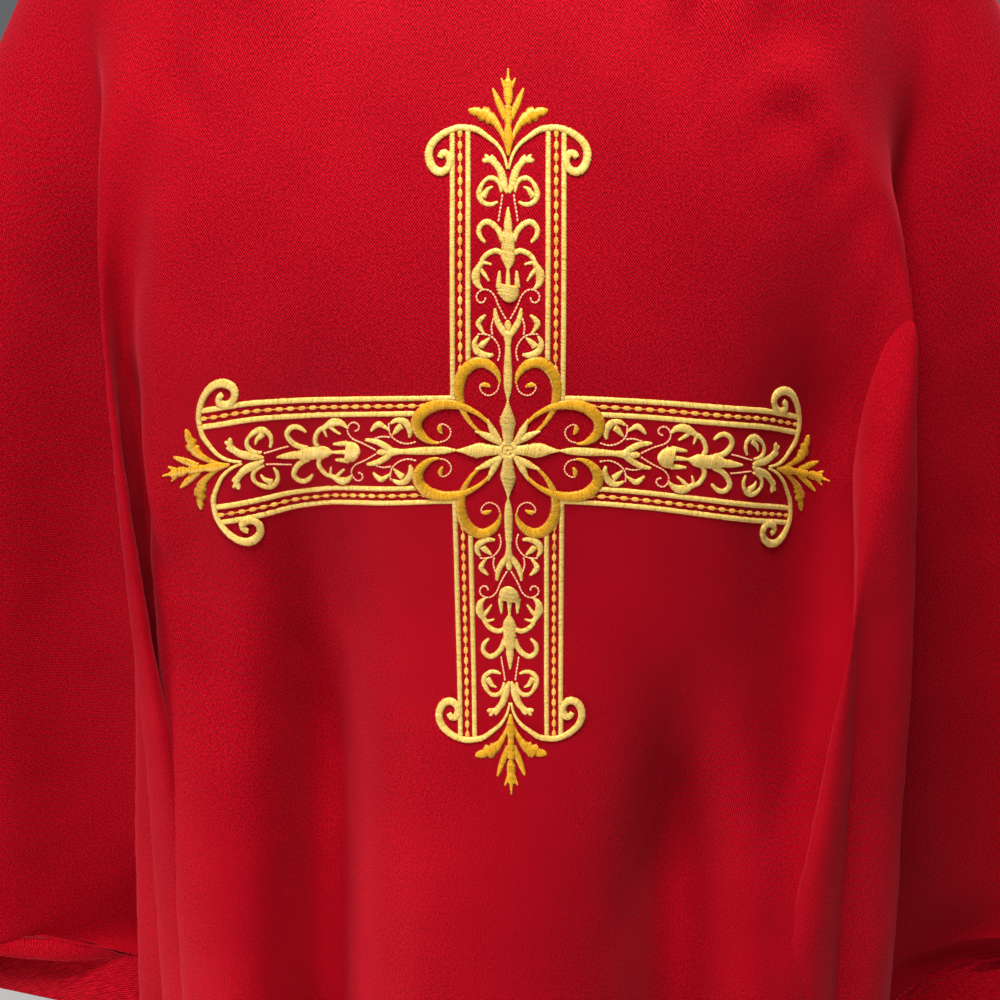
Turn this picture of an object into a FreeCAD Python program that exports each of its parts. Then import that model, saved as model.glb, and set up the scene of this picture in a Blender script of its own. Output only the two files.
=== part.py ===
"""A Gothic chasuble with a gold embroidered cross, as separate sewn pieces.

Frame: millimetres, +Z up, front of the garment towards -Y, wearer's left towards +X.
Origin: centre of the neck opening, level with the tops of the shoulder seams.
The cloth hangs as it does from a wearer's shoulders with both arms a little away from the body.
"""
import FreeCAD, Part
import math
import os

# ---- driving dimensions, mm ----
NECK_HALF_WIDTH = 95.0      # neck opening, centre to shoulder seam
FRONT_NECK_DROP = 88.0      # depth of the front neckline below the shoulder seam
BACK_NECK_DROP = 25.0
HALF_SPAN = 470.0           # centre to cuff, as it hangs
HEM_DROP = 1185.0           # neck to hem at the centre
HEM_RISE = 560.0            # how much higher the hem is at the cuff
SHOULDER_SLOPE = 0.35       # fall of the shoulder seam over the shoulder
ARM_SLOPE = 2.05            # fall of the shoulder seam along the arm
SHOULDER_TIP = 203.0        # where the seam turns from shoulder to arm
SHOULDER_ROUND = 50.0       # how softly it turns
FRONT_REACH = 215.0         # how far the front stands out from the seam at the centre
FRONT_SIDE_REACH = 120.0    # and at the cuff
FRONT_FALL = 130.0          # height over which the front reaches that far
BACK_REACH = 185.0
BACK_SIDE_REACH = 105.0
BACK_FALL = 110.0
SEAM_SETBACK = 30.0         # the seam runs this far behind the neck's centre along the arm
CLOTH = 1.2                 # cloth with its creases
FACING = 0.8
FACING_WIDTH = 58.0
HEM_WIDTH = 30.0
TAPE_WIDTH = 12.0
BINDING_RADIUS = 2.6
LOOP_RADIUS = 22.0
LOOP_WIDTH = 7.0
LOOP_THICKNESS = 1.0
STITCH_HEIGHT = 1.1         # height of the satin stitch above the cloth
FINE_STITCH_HEIGHT = 0.6
CROSS_DROP = 352.0          # neck level to the centre of the cross
CROSS_DROOP = 10.0          # fall of the side arms' ends
BACKING_MARGIN = 9.0

# Vertical folds: (x, half width, depth, drop below the seam where it starts, drop where it is full).
FRONT_FOLDS = (
    (-400, 26, 24, 60, 240), (-330, 28, 30, 90, 330), (-268, 26, 26, 140, 420), (-205, 30, 22, 300, 560),
    (-98, 24, 32, 340, 700), (96, 26, 32, 420, 720), (168, 28, 24, 200, 420), (232, 28, 26, 160, 460),
    (300, 28, 30, 110, 360), (370, 28, 28, 80, 280), (428, 20, 18, 50, 200),
)
BACK_FOLDS = (
    (-405, 26, 22, 60, 240), (-325, 30, 28, 90, 330), (-240, 30, 28, 140, 460), (-150, 30, 28, 200, 600),
    (-55, 28, 24, 260, 700), (60, 28, 26, 240, 680), (155, 30, 28, 200, 600), (245, 30, 28, 140, 460),
    (330, 30, 28, 90, 330), (408, 26, 22, 60, 240),
)


# ---- the shape that the cloth hangs in ----
def ramp(start, end, value):
    """0 below start, 1 above end, smooth between them."""
    share = min(max((value - start) / (end - start), 0.0), 1.0)
    return share * share * (3 - 2 * share)


def seam_z(x):
    """Height of the shoulder seam, from the neck over the shoulder and down the arm."""
    over_shoulder = SHOULDER_SLOPE * (abs(x) - NECK_HALF_WIDTH)
    down_arm = ARM_SLOPE * (abs(x) - SHOULDER_TIP)
    turn = math.hypot(over_shoulder - down_arm, SHOULDER_ROUND)
    return -max(0.5 * (over_shoulder + down_arm + turn), 0.0)


def seam_y(x):
    return SEAM_SETBACK * ramp(NECK_HALF_WIDTH, SHOULDER_TIP, abs(x))


def neckline_drop(x, depth):
    return depth * (1 - (abs(x) / NECK_HALF_WIDTH) ** 2.4)


def top_z(x, front):
    """Upper edge of a panel: the neckline in the middle, the shoulder seam beside it."""
    if abs(x) < NECK_HALF_WIDTH:
        return -neckline_drop(x, FRONT_NECK_DROP if front else BACK_NECK_DROP)
    return seam_z(x)


def hem_z(x):
    return -HEM_DROP + HEM_RISE * (abs(x) / HALF_SPAN) ** 2


def panel_y(x, z, front):
    """How far the cloth stands in front of (negative) or behind (positive) the neck's centre."""
    drop = max(seam_z(x) - z, 0.0)
    outward = abs(x) / HALF_SPAN
    centre_reach, side_reach, fall, folds = (
        (FRONT_REACH, FRONT_SIDE_REACH, FRONT_FALL, FRONT_FOLDS)
        if front
        else (BACK_REACH, BACK_SIDE_REACH, BACK_FALL, BACK_FOLDS)
    )
    reach = centre_reach + (side_reach - centre_reach) * outward ** 1.5
    reach *= 1 - math.exp(-drop / fall)
    for fold_x, half_width, depth, start, full in folds:
        inward = math.exp(-(((x - fold_x) / half_width) ** 2))
        reach -= depth * inward * ramp(start, full, drop) * ramp(0, 160, reach + depth)
    return seam_y(x) - reach if front else seam_y(x) + reach


def on_panel(x, z, front, height=0.0):
    """Point at a height above the panel's outer face; negative heights are inside the garment."""
    step = 1.0
    here = FreeCAD.Vector(x, panel_y(x, z, front), z)
    across = FreeCAD.Vector(2 * step, panel_y(x + step, z, front) - panel_y(x - step, z, front), 0)
    down = FreeCAD.Vector(0, panel_y(x, z - step, front) - panel_y(x, z + step, front), -2 * step)
    normal = across.cross(down).normalize()
    if (normal.y > 0) == front:
        normal = -normal
    return here + normal * height


# ---- builders ----
def curve_edge(points):
    """Smooth edge through the points."""
    curve = Part.BSplineCurve()
    curve.interpolate(points)
    return curve.toShape()


def strip(edge, next_edge):
    """Ruled face between two edges that run the same way."""
    return Part.makeRuledSurface(edge, next_edge, 1)


def close(faces):
    """Solid from faces that share their edges."""
    shell = Part.makeShell(faces)
    shell.sewShape()
    solid = Part.makeSolid(shell)
    if solid.Volume < 0:
        solid.reverse()
    return solid


def sheet(front, stations, upper, lower, outside, inside, rows):
    """Cloth between the heights upper(x) and lower(x), from the height outside to the height inside."""
    columns = []
    for x in stations:
        high, low = upper(x), lower(x)
        levels = [high + (low - high) * row / (rows - 1) for row in range(rows)]
        outer = [on_panel(x, z, front, outside) for z in levels]
        inner = [on_panel(x, z, front, inside) for z in levels]
        foot = Part.makeLine(outer[-1], inner[-1])
        head = Part.makeLine(outer[0], inner[0])
        columns.append((curve_edge(outer), foot, curve_edge(inner), head))
    faces = [strip(column[0], column[2]) for column in (columns[0], columns[-1])]
    for here, beyond in zip(columns, columns[1:]):
        faces += [strip(a, b) for a, b in zip(here, beyond)]
    return close(faces)


def rod(sections):
    """Solid through a row of sections, each a list of the same number of corners."""
    lines = [curve_edge(list(corner)) for corner in zip(*sections)]
    faces = [strip(a, b) for a, b in zip(lines, lines[1:] + lines[:1])]
    for end in (sections[0], sections[-1]):
        if len(end) == 4:
            faces.append(strip(Part.makeLine(end[0], end[1]), Part.makeLine(end[3], end[2])))
        else:
            faces.append(Part.Face(Part.makePolygon(end + end[:1])))
    return close(faces)


def spread(low, high, step):
    """Evenly spaced stations from low to high, about a step apart."""
    count = max(2, round((high - low) / step))
    return [low + (high - low) * k / count for k in range(count + 1)]


def panel_stations():
    middle = spread(-NECK_HALF_WIDTH, NECK_HALF_WIDTH, 10)
    wing = spread(NECK_HALF_WIDTH, HALF_SPAN, 13)[1:]
    return [-x for x in reversed(wing)] + middle + wing


def along_edge(edge_z, x, width):
    """Height of a band's width measured square to an edge that slopes."""
    slope = (edge_z(x + 1) - edge_z(x - 1)) / 2
    return width * math.hypot(1, slope)


def export(node, solids):
    shape = solids[0] if len(solids) == 1 else Part.makeCompound(solids)
    shape.exportStep("parts/%s.step" % node)
    volume = sum(s.Volume for s in solids)
    valid = all(s.isValid() and s.Volume > 0 for s in solids)
    print("%-24s solids %3d  volume %9.1f mm3  valid %s" % (node, len(solids), volume, valid))


# ---- the cloth pieces ----
def panel(front):
    return sheet(front, panel_stations(), lambda x: top_z(x, front), hem_z, 0.0, -CLOTH, 22)


def neck_facing(front):
    depth = FRONT_NECK_DROP if front else BACK_NECK_DROP
    reach = NECK_HALF_WIDTH + FACING_WIDTH

    def lower(x):
        return -(depth + FACING_WIDTH) * math.sqrt(1 - (x / reach) ** 2)

    stations = [x for x in panel_stations() if abs(x) < 0.95 * reach]
    inside = -CLOTH - 0.2
    return sheet(front, stations, lambda x: top_z(x, front) - 1, lower, inside, inside - FACING, 6)


def hem_facing(front):
    def upper(x):
        return hem_z(x) + along_edge(hem_z, x, HEM_WIDTH)

    stations = [x for x in panel_stations() if abs(x) < HALF_SPAN - 12]
    inside = -CLOTH - 0.2
    return sheet(front, stations, upper, hem_z, inside, inside - FACING, 5)


def shoulder_tape(side):
    """Tape inside the seam; side is 1 for the wearer's left."""
    stations = [side * x for x in spread(NECK_HALF_WIDTH + FACING_WIDTH, HALF_SPAN - 12, 12)]
    inside = -CLOTH - 0.2

    def upper(x):
        return seam_z(x) - 3

    def lower(x):
        return upper(x) - along_edge(seam_z, x, TAPE_WIDTH)

    return sheet(True, stations, upper, lower, inside, inside - FACING, 4)


def neck_binding():
    """Rolled edge round the neck, as a front and a back length that meet at the shoulder seams."""
    lengths = []
    for front in (True, False):
        stops = [NECK_HALF_WIDTH * math.sin(math.pi / 2 * k / 12) for k in range(-12, 13)]
        line = [on_panel(x, top_z(x, front), front) for x in stops]
        rings = []
        for k, point in enumerate(line):
            along = (line[min(k + 1, 24)] - line[max(k - 1, 0)]).normalize()
            side = along.cross(FreeCAD.Vector(0, 1, 0.3)).normalize()
            rise = along.cross(side)
            corners = [math.radians(45 * corner) for corner in range(8)]
            rings.append([point + (side * math.cos(a) + rise * math.sin(a)) * BINDING_RADIUS for a in corners])
        lengths.append(rod(rings))
    return lengths


def hanger_loop():
    """Half ring of narrow tape that hangs inside the back neck."""
    centre = on_panel(0, -BACK_NECK_DROP - 12, False, -CLOTH - FACING - 0.4)
    outer = Part.makeCylinder(LOOP_RADIUS, LOOP_WIDTH, centre, FreeCAD.Vector(0, -1, 0))
    bore = Part.makeCylinder(LOOP_RADIUS - LOOP_THICKNESS, LOOP_WIDTH, centre, FreeCAD.Vector(0, -1, 0))
    lower_half = Part.makeBox(
        2 * LOOP_RADIUS,
        LOOP_WIDTH,
        LOOP_RADIUS,
        centre + FreeCAD.Vector(-LOOP_RADIUS, -LOOP_WIDTH, -LOOP_RADIUS),
    )
    return outer.cut(bore).common(lower_half).Solids[0]


# ---- the embroidery: one arm's outlines, mm ----
# Across the arm and outward from the centre of the cross, with the stitch width where it varies.
OUTER_LINE = 26.5
INNER_LINE = 19.0
BEAD_LINE = 22.8
LINE_WIDTH = 2.8
LINE_END = 152.5
INNER_LINE_START = 47.0
BEAD_START = 42.0
BEAD_PITCH = 5.5
BEAD_COUNT = 20
BEAD_LENGTH = 3.6
BEAD_WIDTH = 2.3

VOLUTE = (
    (0.3, 134, 1.2), (2, 140, 1.5), (5.2, 145, 1.9), (10.2, 149, 2.4), (14.7, 151.9, 2.8), (19, 152.8, 3),
    (23.5, 153, 3), (28, 151.7, 3.2), (32.5, 149.3, 3.4), (36, 145.8, 3.7), (37.6, 141.5, 3.9),
    (37, 137.3, 4), (34.7, 134, 4), (31.5, 133.1, 3.9), (28.6, 134.8, 3.5), (27.4, 138, 3.2),
    (28.6, 141.1, 3), (31, 141.3, 2.6), (32.7, 139, 1.6),
)
FINIAL_STEM = ((0, 140, 1.4), (0, 143.5, 2.9), (0, 148.3, 5.2), (0, 153, 3.1), (0, 157.6, 3.8), (0, 162, 1))
FINIAL_BUD = ((0, 162, 1), (0, 166.5, 4.3), (0, 171, 4.3), (0, 174.5, 5.6), (0, 176, 1.9), (0, 180, 0.6))
FINIAL_LEAVES = (
    ((1.8, 157, 3), (3.9, 162.5, 3.5), (5.3, 166, 2.6), (7.3, 170.5, 1)),
    ((1.8, 149, 5), (5, 153.5, 4.2), (9, 158.8, 6), (13, 158.8, 4), (18, 160.6, 1.4)),
)
V_LEAF = (
    (0.6, 123.5, 1.5), (1.8, 126, 3.4), (2.9, 130, 4), (3.9, 133.5, 3.6), (6, 136, 3.4), (8.8, 138, 3.2),
    (11, 137.6, 1.6),
)
C_SCROLL = (
    (10.9, 128.8, 1.6), (12.9, 126, 2.4), (13.8, 122.8, 2.8), (13, 120, 2.6), (10.6, 118.1, 2.2),
    (7.7, 117.9, 2), (4.9, 119, 1.2),
)
BUD = (
    (0, 88, 0.8), (0, 91.4, 5.6), (0, 94, 6.8), (0, 98.6, 6.5), (0, 103.4, 7.5), (0, 105.8, 3.9),
    (0, 108.2, 4.3), (0, 113, 2.4), (0, 116, 0.8),
)
UPPER_SCROLL = (
    (3, 102, 2.8), (4.7, 106.3, 2.8), (7.6, 109, 2.8), (10.5, 109.8, 2.8), (13.1, 108, 2.5),
    (13.9, 105.4, 2.4), (13, 103, 2.2), (10.4, 100.5, 1.4),
)
LOWER_SCROLL = (
    (3.3, 95.7, 2.6), (5.6, 96.5, 2.6), (9, 95.5, 2.5), (11.8, 93, 2.3), (12.8, 90, 2.2),
    (14.9, 86.6, 3.4), (15.3, 83.8, 4.2), (14.4, 81, 3.2), (12, 78.7, 1),
)
TRIDENT_CUP = ((-5.4, 77, 1), (-3.4, 76.8, 5.4), (0, 76.6, 7.4), (3.4, 76.8, 5.4), (5.4, 77, 1))
TRIDENT_PRONG = ((4.4, 79.5, 2.9), (4.3, 83, 2.4), (4, 86.9, 1.2))
SPINDLE = ((0, 25, 0.6), (0, 31, 3.4), (0, 37, 4), (0, 45, 3.4), (0, 52, 2.6), (0, 56, 3.6), (0, 64, 1.2))
FORK = ((0.6, 56.5, 3), (2.4, 58.9, 3.2), (4.7, 62.9, 3), (5.8, 66, 2.6), (6.1, 68.8, 1.6))
COMMA_LEAF = ((10.7, 66.2, 1.2), (13, 64.3, 2.6), (14, 62.4, 2.8), (12.8, 60, 1.8), (11, 57.7, 0.9))
BIG_LEAF = ((14.7, 56, 1.4), (15.9, 53, 2.4), (15.1, 49.7, 3.2), (12.2, 47.8, 3.2), (7.3, 47.7, 1.6))
LEAVES = (V_LEAF, C_SCROLL, UPPER_SCROLL, LOWER_SCROLL, TRIDENT_PRONG, FORK, COMMA_LEAF, BIG_LEAF)
SPINES = (BUD, TRIDENT_CUP, SPINDLE)

TENDRILS = (
    ((0.9, 64), (2.9, 67.4), (4.9, 71.8), (6.4, 75.6), (8.8, 78), (11.2, 78.6), (13.7, 77.6), (15.1, 75.5),
     (14.4, 73.1), (12.6, 72.2), (11, 73.1)),
    ((14.7, 56.4), (12, 57.3), (8, 56.4), (5, 53), (3.9, 49.2), (4.1, 46.8), (4.9, 44.4)),
    ((4.6, 109.8), (4, 114), (3.1, 118.5), (2.6, 122.5), (3.2, 126), (5.1, 128.6), (8, 129.6)),
)
TENDRIL_WIDTH = 1.0

LOOP = (
    (14.8, 9.8, 1.3), (18.4, 14.3, 2), (21.1, 19, 2.8), (23.1, 25, 4.3), (23.6, 31.5, 5.3),
    (21.8, 38, 5.6), (17.5, 42.8, 5.6), (12.5, 44, 5.2), (8.2, 42, 4.6), (5.2, 38.5, 3), (4, 35, 1.5),
)
TEARDROP = ((8.8, 32.4, 0.8), (10.4, 32.4, 2.2), (12, 32.4, 2), (13.3, 32.4, 0.8))
STAR_LEAF = ((0, 2.6, 4.4), (0, 11, 5.2), (0, 16, 6.4), (0, 20, 5), (0, 25, 0.6))
STAR_SIDE_LEAF = ((2.6, 5.2, 2.4), (5.5, 8, 3.2), (8, 11.3, 3.2), (9.6, 14.5, 1))
STAR_RADIUS = 3.2
ARMS = {"top": 0, "right": 90, "bottom": 180, "left": 270}


def on_cross(across, outward, turn, height):
    """Point on the front at a place in an arm of the cross that is turned about the cross's centre."""
    angle = math.radians(turn)
    x = across * math.cos(angle) - outward * math.sin(angle)
    rise = across * math.sin(angle) + outward * math.cos(angle)
    z = -CROSS_DROP + rise - CROSS_DROOP * (x / LINE_END) ** 2
    return on_panel(x, z, True, height)


def stroke(points, turn, mirror=1, height=STITCH_HEIGHT):
    """A raised column of satin stitch along points of (across, outward, width)."""
    sections = []
    last = len(points) - 1
    for k, (across, outward, width) in enumerate(points):
        before = points[max(k - 1, 0)]
        after = points[min(k + 1, last)]
        along = math.hypot(after[0] - before[0], after[1] - before[1])
        side = (-(after[1] - before[1]) / along, (after[0] - before[0]) / along)
        corners = []
        for share, rise in ((-0.5, 0.05), (0.5, 0.05), (0.36, height), (-0.36, height)):
            place = (across + side[0] * width * share, outward + side[1] * width * share)
            corners.append(on_cross(mirror * place[0], place[1], turn, rise))
        sections.append(corners)
    return rod(sections)


def straight(across, start, end, width):
    return [(across, outward, width) for outward in spread(start, end, 18)]


def bead(across, outward, turn):
    """One bead of thread: a short column that narrows at both ends."""
    half = BEAD_LENGTH / 2
    profile = ((-1, 0.35), (-0.5, 0.9), (0, 1), (0.5, 0.9), (1, 0.35))
    return stroke([(across, outward + half * at, BEAD_WIDTH * share) for at, share in profile], turn)


def both_sides(points, turn, height=STITCH_HEIGHT):
    return [stroke(points, turn, mirror, height) for mirror in (1, -1)]


def fine(points):
    return [(across, outward, TENDRIL_WIDTH) for across, outward in points]


def arm_pieces(turn):
    """The six runs of stitching on one arm, by name."""
    lines = []
    for across, start in ((OUTER_LINE, OUTER_LINE), (INNER_LINE, INNER_LINE_START)):
        lines += both_sides(straight(across, start, LINE_END, LINE_WIDTH), turn)
    beads = []
    for k in range(BEAD_COUNT):
        outward = BEAD_START + BEAD_PITCH * k
        beads += [bead(across, outward, turn) for across in (BEAD_LINE, -BEAD_LINE)]
    finial = [stroke(FINIAL_STEM, turn), stroke(FINIAL_BUD, turn)]
    for leaf in FINIAL_LEAVES:
        finial += both_sides(leaf, turn)
    leaves = [stroke(spine, turn) for spine in SPINES]
    for leaf in LEAVES:
        leaves += both_sides(leaf, turn)
    tendrils = []
    for tendril in TENDRILS:
        tendrils += both_sides(fine(tendril), turn, FINE_STITCH_HEIGHT)
    return {
        "borders": lines,
        "beads": beads,
        "volutes": both_sides(VOLUTE, turn),
        "finial": finial,
        "leaves": leaves,
        "tendrils": tendrils,
    }


def centre_loops():
    loops = []
    for turn in ARMS.values():
        loops += both_sides(LOOP, turn)
        loops += both_sides(TEARDROP, turn)
    return loops


def centre_star():
    star = [
        Part.makeCylinder(
            STAR_RADIUS, STITCH_HEIGHT, on_cross(0, 0, 0, 0.05), on_cross(0, 0, 0, 1) - on_cross(0, 0, 0, 0)
        )
    ]
    for turn in ARMS.values():
        star.append(stroke(STAR_LEAF, turn))
        star += both_sides(STAR_SIDE_LEAF, turn)
    return star


def embroidery_backing():
    """Cut-away backing behind the cross: the upright, and one piece behind each side arm."""
    inside = -CLOTH - 0.2
    half_width = OUTER_LINE + BACKING_MARGIN
    half_length = 180 + BACKING_MARGIN

    def droop(x):
        return -CROSS_DROP - CROSS_DROOP * (x / LINE_END) ** 2

    upright = sheet(
        True, spread(-half_width, half_width, 9), lambda x: -CROSS_DROP + half_length,
        lambda x: -CROSS_DROP - half_length, inside, inside - FACING, 10,
    )
    pieces = [upright]
    for side in (1, -1):
        stations = [side * x for x in spread(half_width + 0.5, half_length, 9)]
        pieces.append(
            sheet(
                True, stations, lambda x: droop(x) + half_width,
                lambda x: droop(x) - half_width, inside, inside - FACING, 6,
            )
        )
    return pieces


def main():
    os.makedirs("parts", exist_ok=True)
    export("front_panel", [panel(True)])
    export("back_panel", [panel(False)])
    export("front_neck_facing", [neck_facing(True)])
    export("back_neck_facing", [neck_facing(False)])
    export("neck_binding", neck_binding())
    export("left_shoulder_tape", [shoulder_tape(1)])
    export("right_shoulder_tape", [shoulder_tape(-1)])
    export("front_hem_facing", [hem_facing(True)])
    export("back_hem_facing", [hem_facing(False)])
    export("embroidery_backing", embroidery_backing())
    export("hanger_loop", [hanger_loop()])
    export("centre_loops", centre_loops())
    export("centre_star", centre_star())
    for arm, turn in ARMS.items():
        for run, solids in arm_pieces(turn).items():
            export("%s_%s" % (arm, run), solids)


main()
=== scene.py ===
"""A Gothic chasuble with a gold embroidered cross, as it hangs when it is worn.

Metres, +Z up, the embroidered front faces -Y, the wearer's left is +X. The origin is the centre of
the neck opening. The cloth is cut flat, draped by simulation over an unseen form, and every other
piece, down to each stitch, is laid on the draped cloth by its place in the flat cut.
"""
import math
import bpy
import numpy as np
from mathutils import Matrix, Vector


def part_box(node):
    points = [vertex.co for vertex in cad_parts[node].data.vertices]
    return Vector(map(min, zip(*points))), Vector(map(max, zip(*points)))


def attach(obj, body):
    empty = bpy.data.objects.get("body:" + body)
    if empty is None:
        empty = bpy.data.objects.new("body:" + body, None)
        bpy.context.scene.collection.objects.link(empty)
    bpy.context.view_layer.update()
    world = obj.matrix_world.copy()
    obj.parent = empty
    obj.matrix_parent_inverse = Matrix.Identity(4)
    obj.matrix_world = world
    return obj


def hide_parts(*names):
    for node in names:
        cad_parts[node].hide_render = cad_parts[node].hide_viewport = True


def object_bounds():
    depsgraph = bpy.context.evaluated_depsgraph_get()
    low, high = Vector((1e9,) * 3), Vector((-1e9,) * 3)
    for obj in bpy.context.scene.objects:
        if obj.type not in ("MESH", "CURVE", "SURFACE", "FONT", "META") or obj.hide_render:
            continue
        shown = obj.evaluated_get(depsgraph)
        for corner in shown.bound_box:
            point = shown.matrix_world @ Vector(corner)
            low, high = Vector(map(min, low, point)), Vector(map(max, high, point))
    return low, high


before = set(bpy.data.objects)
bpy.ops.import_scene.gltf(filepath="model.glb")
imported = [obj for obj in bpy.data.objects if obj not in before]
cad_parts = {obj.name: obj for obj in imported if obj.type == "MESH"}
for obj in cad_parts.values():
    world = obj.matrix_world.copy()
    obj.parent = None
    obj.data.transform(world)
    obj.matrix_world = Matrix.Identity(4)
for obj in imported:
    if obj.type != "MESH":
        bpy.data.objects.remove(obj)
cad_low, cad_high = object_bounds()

MM = 0.001
random = np.random.default_rng(7)

# ---- driving dimensions, from the frame ----
neck_low, neck_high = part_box("neck_binding")
BINDING_RADIUS = 2.6 * MM
NECK_HALF = neck_high.x - BINDING_RADIUS
SIDES = {True: "front", False: "back"}
BACK_NECK_DROP = 25 * MM
NECK_DROPS = {True: -neck_low.z - BINDING_RADIUS, False: BACK_NECK_DROP}
HEM_DROP = -cad_low.z
loops_low, loops_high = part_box("centre_loops")
CROSS_DROP = -(loops_low.z + loops_high.z) / 2

# ---- the cut of one panel, laid flat: u to the wearer's left, v up from the neck ----
HALF_WIDTH = 0.74
LENGTH = HEM_DROP + 15 * MM
SHOULDER_SLOPE = 0.17
CUFF = 0.30             # height of the open side edge
HEM_ROUNDNESS = 2.3
COLUMNS = 110
ROWS = 60

# ---- the cloth ----
CLOTH = 0.7 * MM
FACING = 0.5 * MM
FACING_GAP = 0.5 * MM
FACING_WIDTH = 58 * MM
HEM_WIDTH = 30 * MM
TAPE_WIDTH = 12 * MM
SEAM_ALLOWANCE = 2 * MM

# ---- how the cloth stands out from the neck's centre: (drop, lean outwards) down the middle ----
FRONT_START = 0.060
FRONT_LEAN = (
    (-0.05, 0.55), (0.08, 0.41), (0.18, 0.29), (0.26, 0.08), (0.33, -0.08), (0.40, -0.12), (0.47, 0.08),
    (0.54, 0.28), (0.64, 0.28), (0.75, 0.06), (1.3, 0.0),
)
FRONT_ROUND = 0.52      # radius of the front, seen from above
BACK_START = 0.040
BACK_LEAN = ((-0.05, 0.50), (0.06, 0.42), (0.12, 0.36), (0.2, 0.20), (0.3, 0.06), (0.5, 0.0), (1.3, 0.03))
BACK_ROUND = 0.42
# Folds: (x, half width, depth, drop where it starts, drop where it is full, more at the hem).
FRONT_FOLDS = (
    (-0.098, 0.027, 0.064, 0.29, 0.58, 0.004),
    (0.094, 0.028, 0.044, 0.43, 0.62, 0.006),
    (0.085, 0.065, 0.026, 0.46, 0.64, 0.0),
    (0.158, 0.032, 0.022, 0.21, 0.38, -0.006),
)
BACK_FOLDS = (
    (0.0, 0.028, 0.026, 0.34, 0.75, 0.0),
    (-0.11, 0.030, 0.026, 0.28, 0.60, 0.0),
    (0.115, 0.030, 0.026, 0.26, 0.60, 0.0),
)
HEM_FOLDS = (0.66, 1.1)  # drops between which the folds change towards the hem
DROOP = 10 * MM         # how far the ends of the side arms of the cross sink
DROOP_AT = 0.166
DROPS = np.linspace(-0.05, 1.3, 271)


def smooth(start, end, value):
    """0 below start, 1 above end, smooth between them."""
    share = np.clip((value - start) / (end - start), 0, 1)
    return share * share * (3 - 2 * share)


def unit(vectors):
    return vectors / np.maximum(np.linalg.norm(vectors, axis=-1, keepdims=True), 1e-12)


def pairs(u, v):
    """Places in the flat cut, as one list of pairs."""
    return np.stack([u.ravel(), v.ravel()], 1)


def travelled(line):
    """Distance along a line of points, up to each of them."""
    return np.concatenate([[0], np.cumsum(np.linalg.norm(np.diff(line, axis=0), axis=1))])


# ---- the flat cut ----
def top_edge(u, front):
    """Neckline in the middle, shoulder seam beside it."""
    inside = np.sqrt(np.clip(1 - (np.abs(u) / NECK_HALF) ** 2, 0, 1))
    shoulder = -SHOULDER_SLOPE * (np.abs(u) - NECK_HALF)
    return np.where(np.abs(u) < NECK_HALF, -NECK_DROPS[front] * inside, shoulder)


def bottom_edge(u):
    share = np.clip(np.abs(u) / HALF_WIDTH, 0, 1)
    side = -SHOULDER_SLOPE * (HALF_WIDTH - NECK_HALF) - CUFF
    return side - (LENGTH + side) * (1 - share ** HEM_ROUNDNESS) ** (1 / HEM_ROUNDNESS)


def meet_neck(places):
    """Moves the nearest column to each neck point."""
    for side in (-1, 1):
        places[np.abs(places - side * NECK_HALF).argmin()] = side * NECK_HALF
    return places


def columns():
    """Places of the columns, closer together at the cuffs."""
    share = np.linspace(-1, 1, COLUMNS + 1)
    return meet_neck(HALF_WIDTH * (0.35 * np.sin(math.pi / 2 * share) + 0.65 * share))


# ---- how the middle of the front and of the back hang ----
def profile(front):
    start, lean = (FRONT_START, FRONT_LEAN) if front else (BACK_START, BACK_LEAN)
    slope = np.interp(DROPS, *np.transpose(lean))
    out = np.concatenate([[0], np.cumsum((slope[1:] + slope[:-1]) / 2 * np.diff(DROPS))])
    return start + out - np.interp(0, DROPS, out)


PROFILES = {front: profile(front) for front in SIDES}


def reach(x, drop, front):
    """How far the cloth stands in front of, or behind, the neck's centre."""
    folds, radius = (FRONT_FOLDS, FRONT_ROUND) if front else (BACK_FOLDS, BACK_ROUND)
    out = np.interp(drop, DROPS, PROFILES[front]) - x * x / (2 * radius)
    for middle, half_width, depth, start, full, more in folds:
        size = depth * smooth(start, full, drop) + more * smooth(*HEM_FOLDS, drop)
        out = out - size * np.exp(-((x - middle) / half_width) ** 2)
    return out


def down_the_middle(front):
    """Drops, and the length of cloth from the neck's centre down to each."""
    down = np.linspace(0, 1.3, 1301)
    middle = np.interp(down, DROPS, PROFILES[front])
    return down, np.concatenate([[0], np.cumsum(np.hypot(np.diff(down), np.diff(middle)))])


def hang(u, v, front, steps=40):
    """Where a point of the flat cut hangs: the lengths along and across the cloth are kept."""
    down, length = down_the_middle(front)
    drop = np.interp(-v, length, down) + DROOP * (u / DROOP_AT) ** 2 * smooth(0, 0.25, -v)
    x = np.zeros_like(u)
    for _ in range(steps):
        slope = (reach(x + MM, drop, front) - reach(x - MM, drop, front)) / (2 * MM)
        x = x + u / steps / np.sqrt(1 + slope * slope)
    out = reach(x, drop, front)
    return np.stack([x, -out if front else out, -drop], -1)


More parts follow.
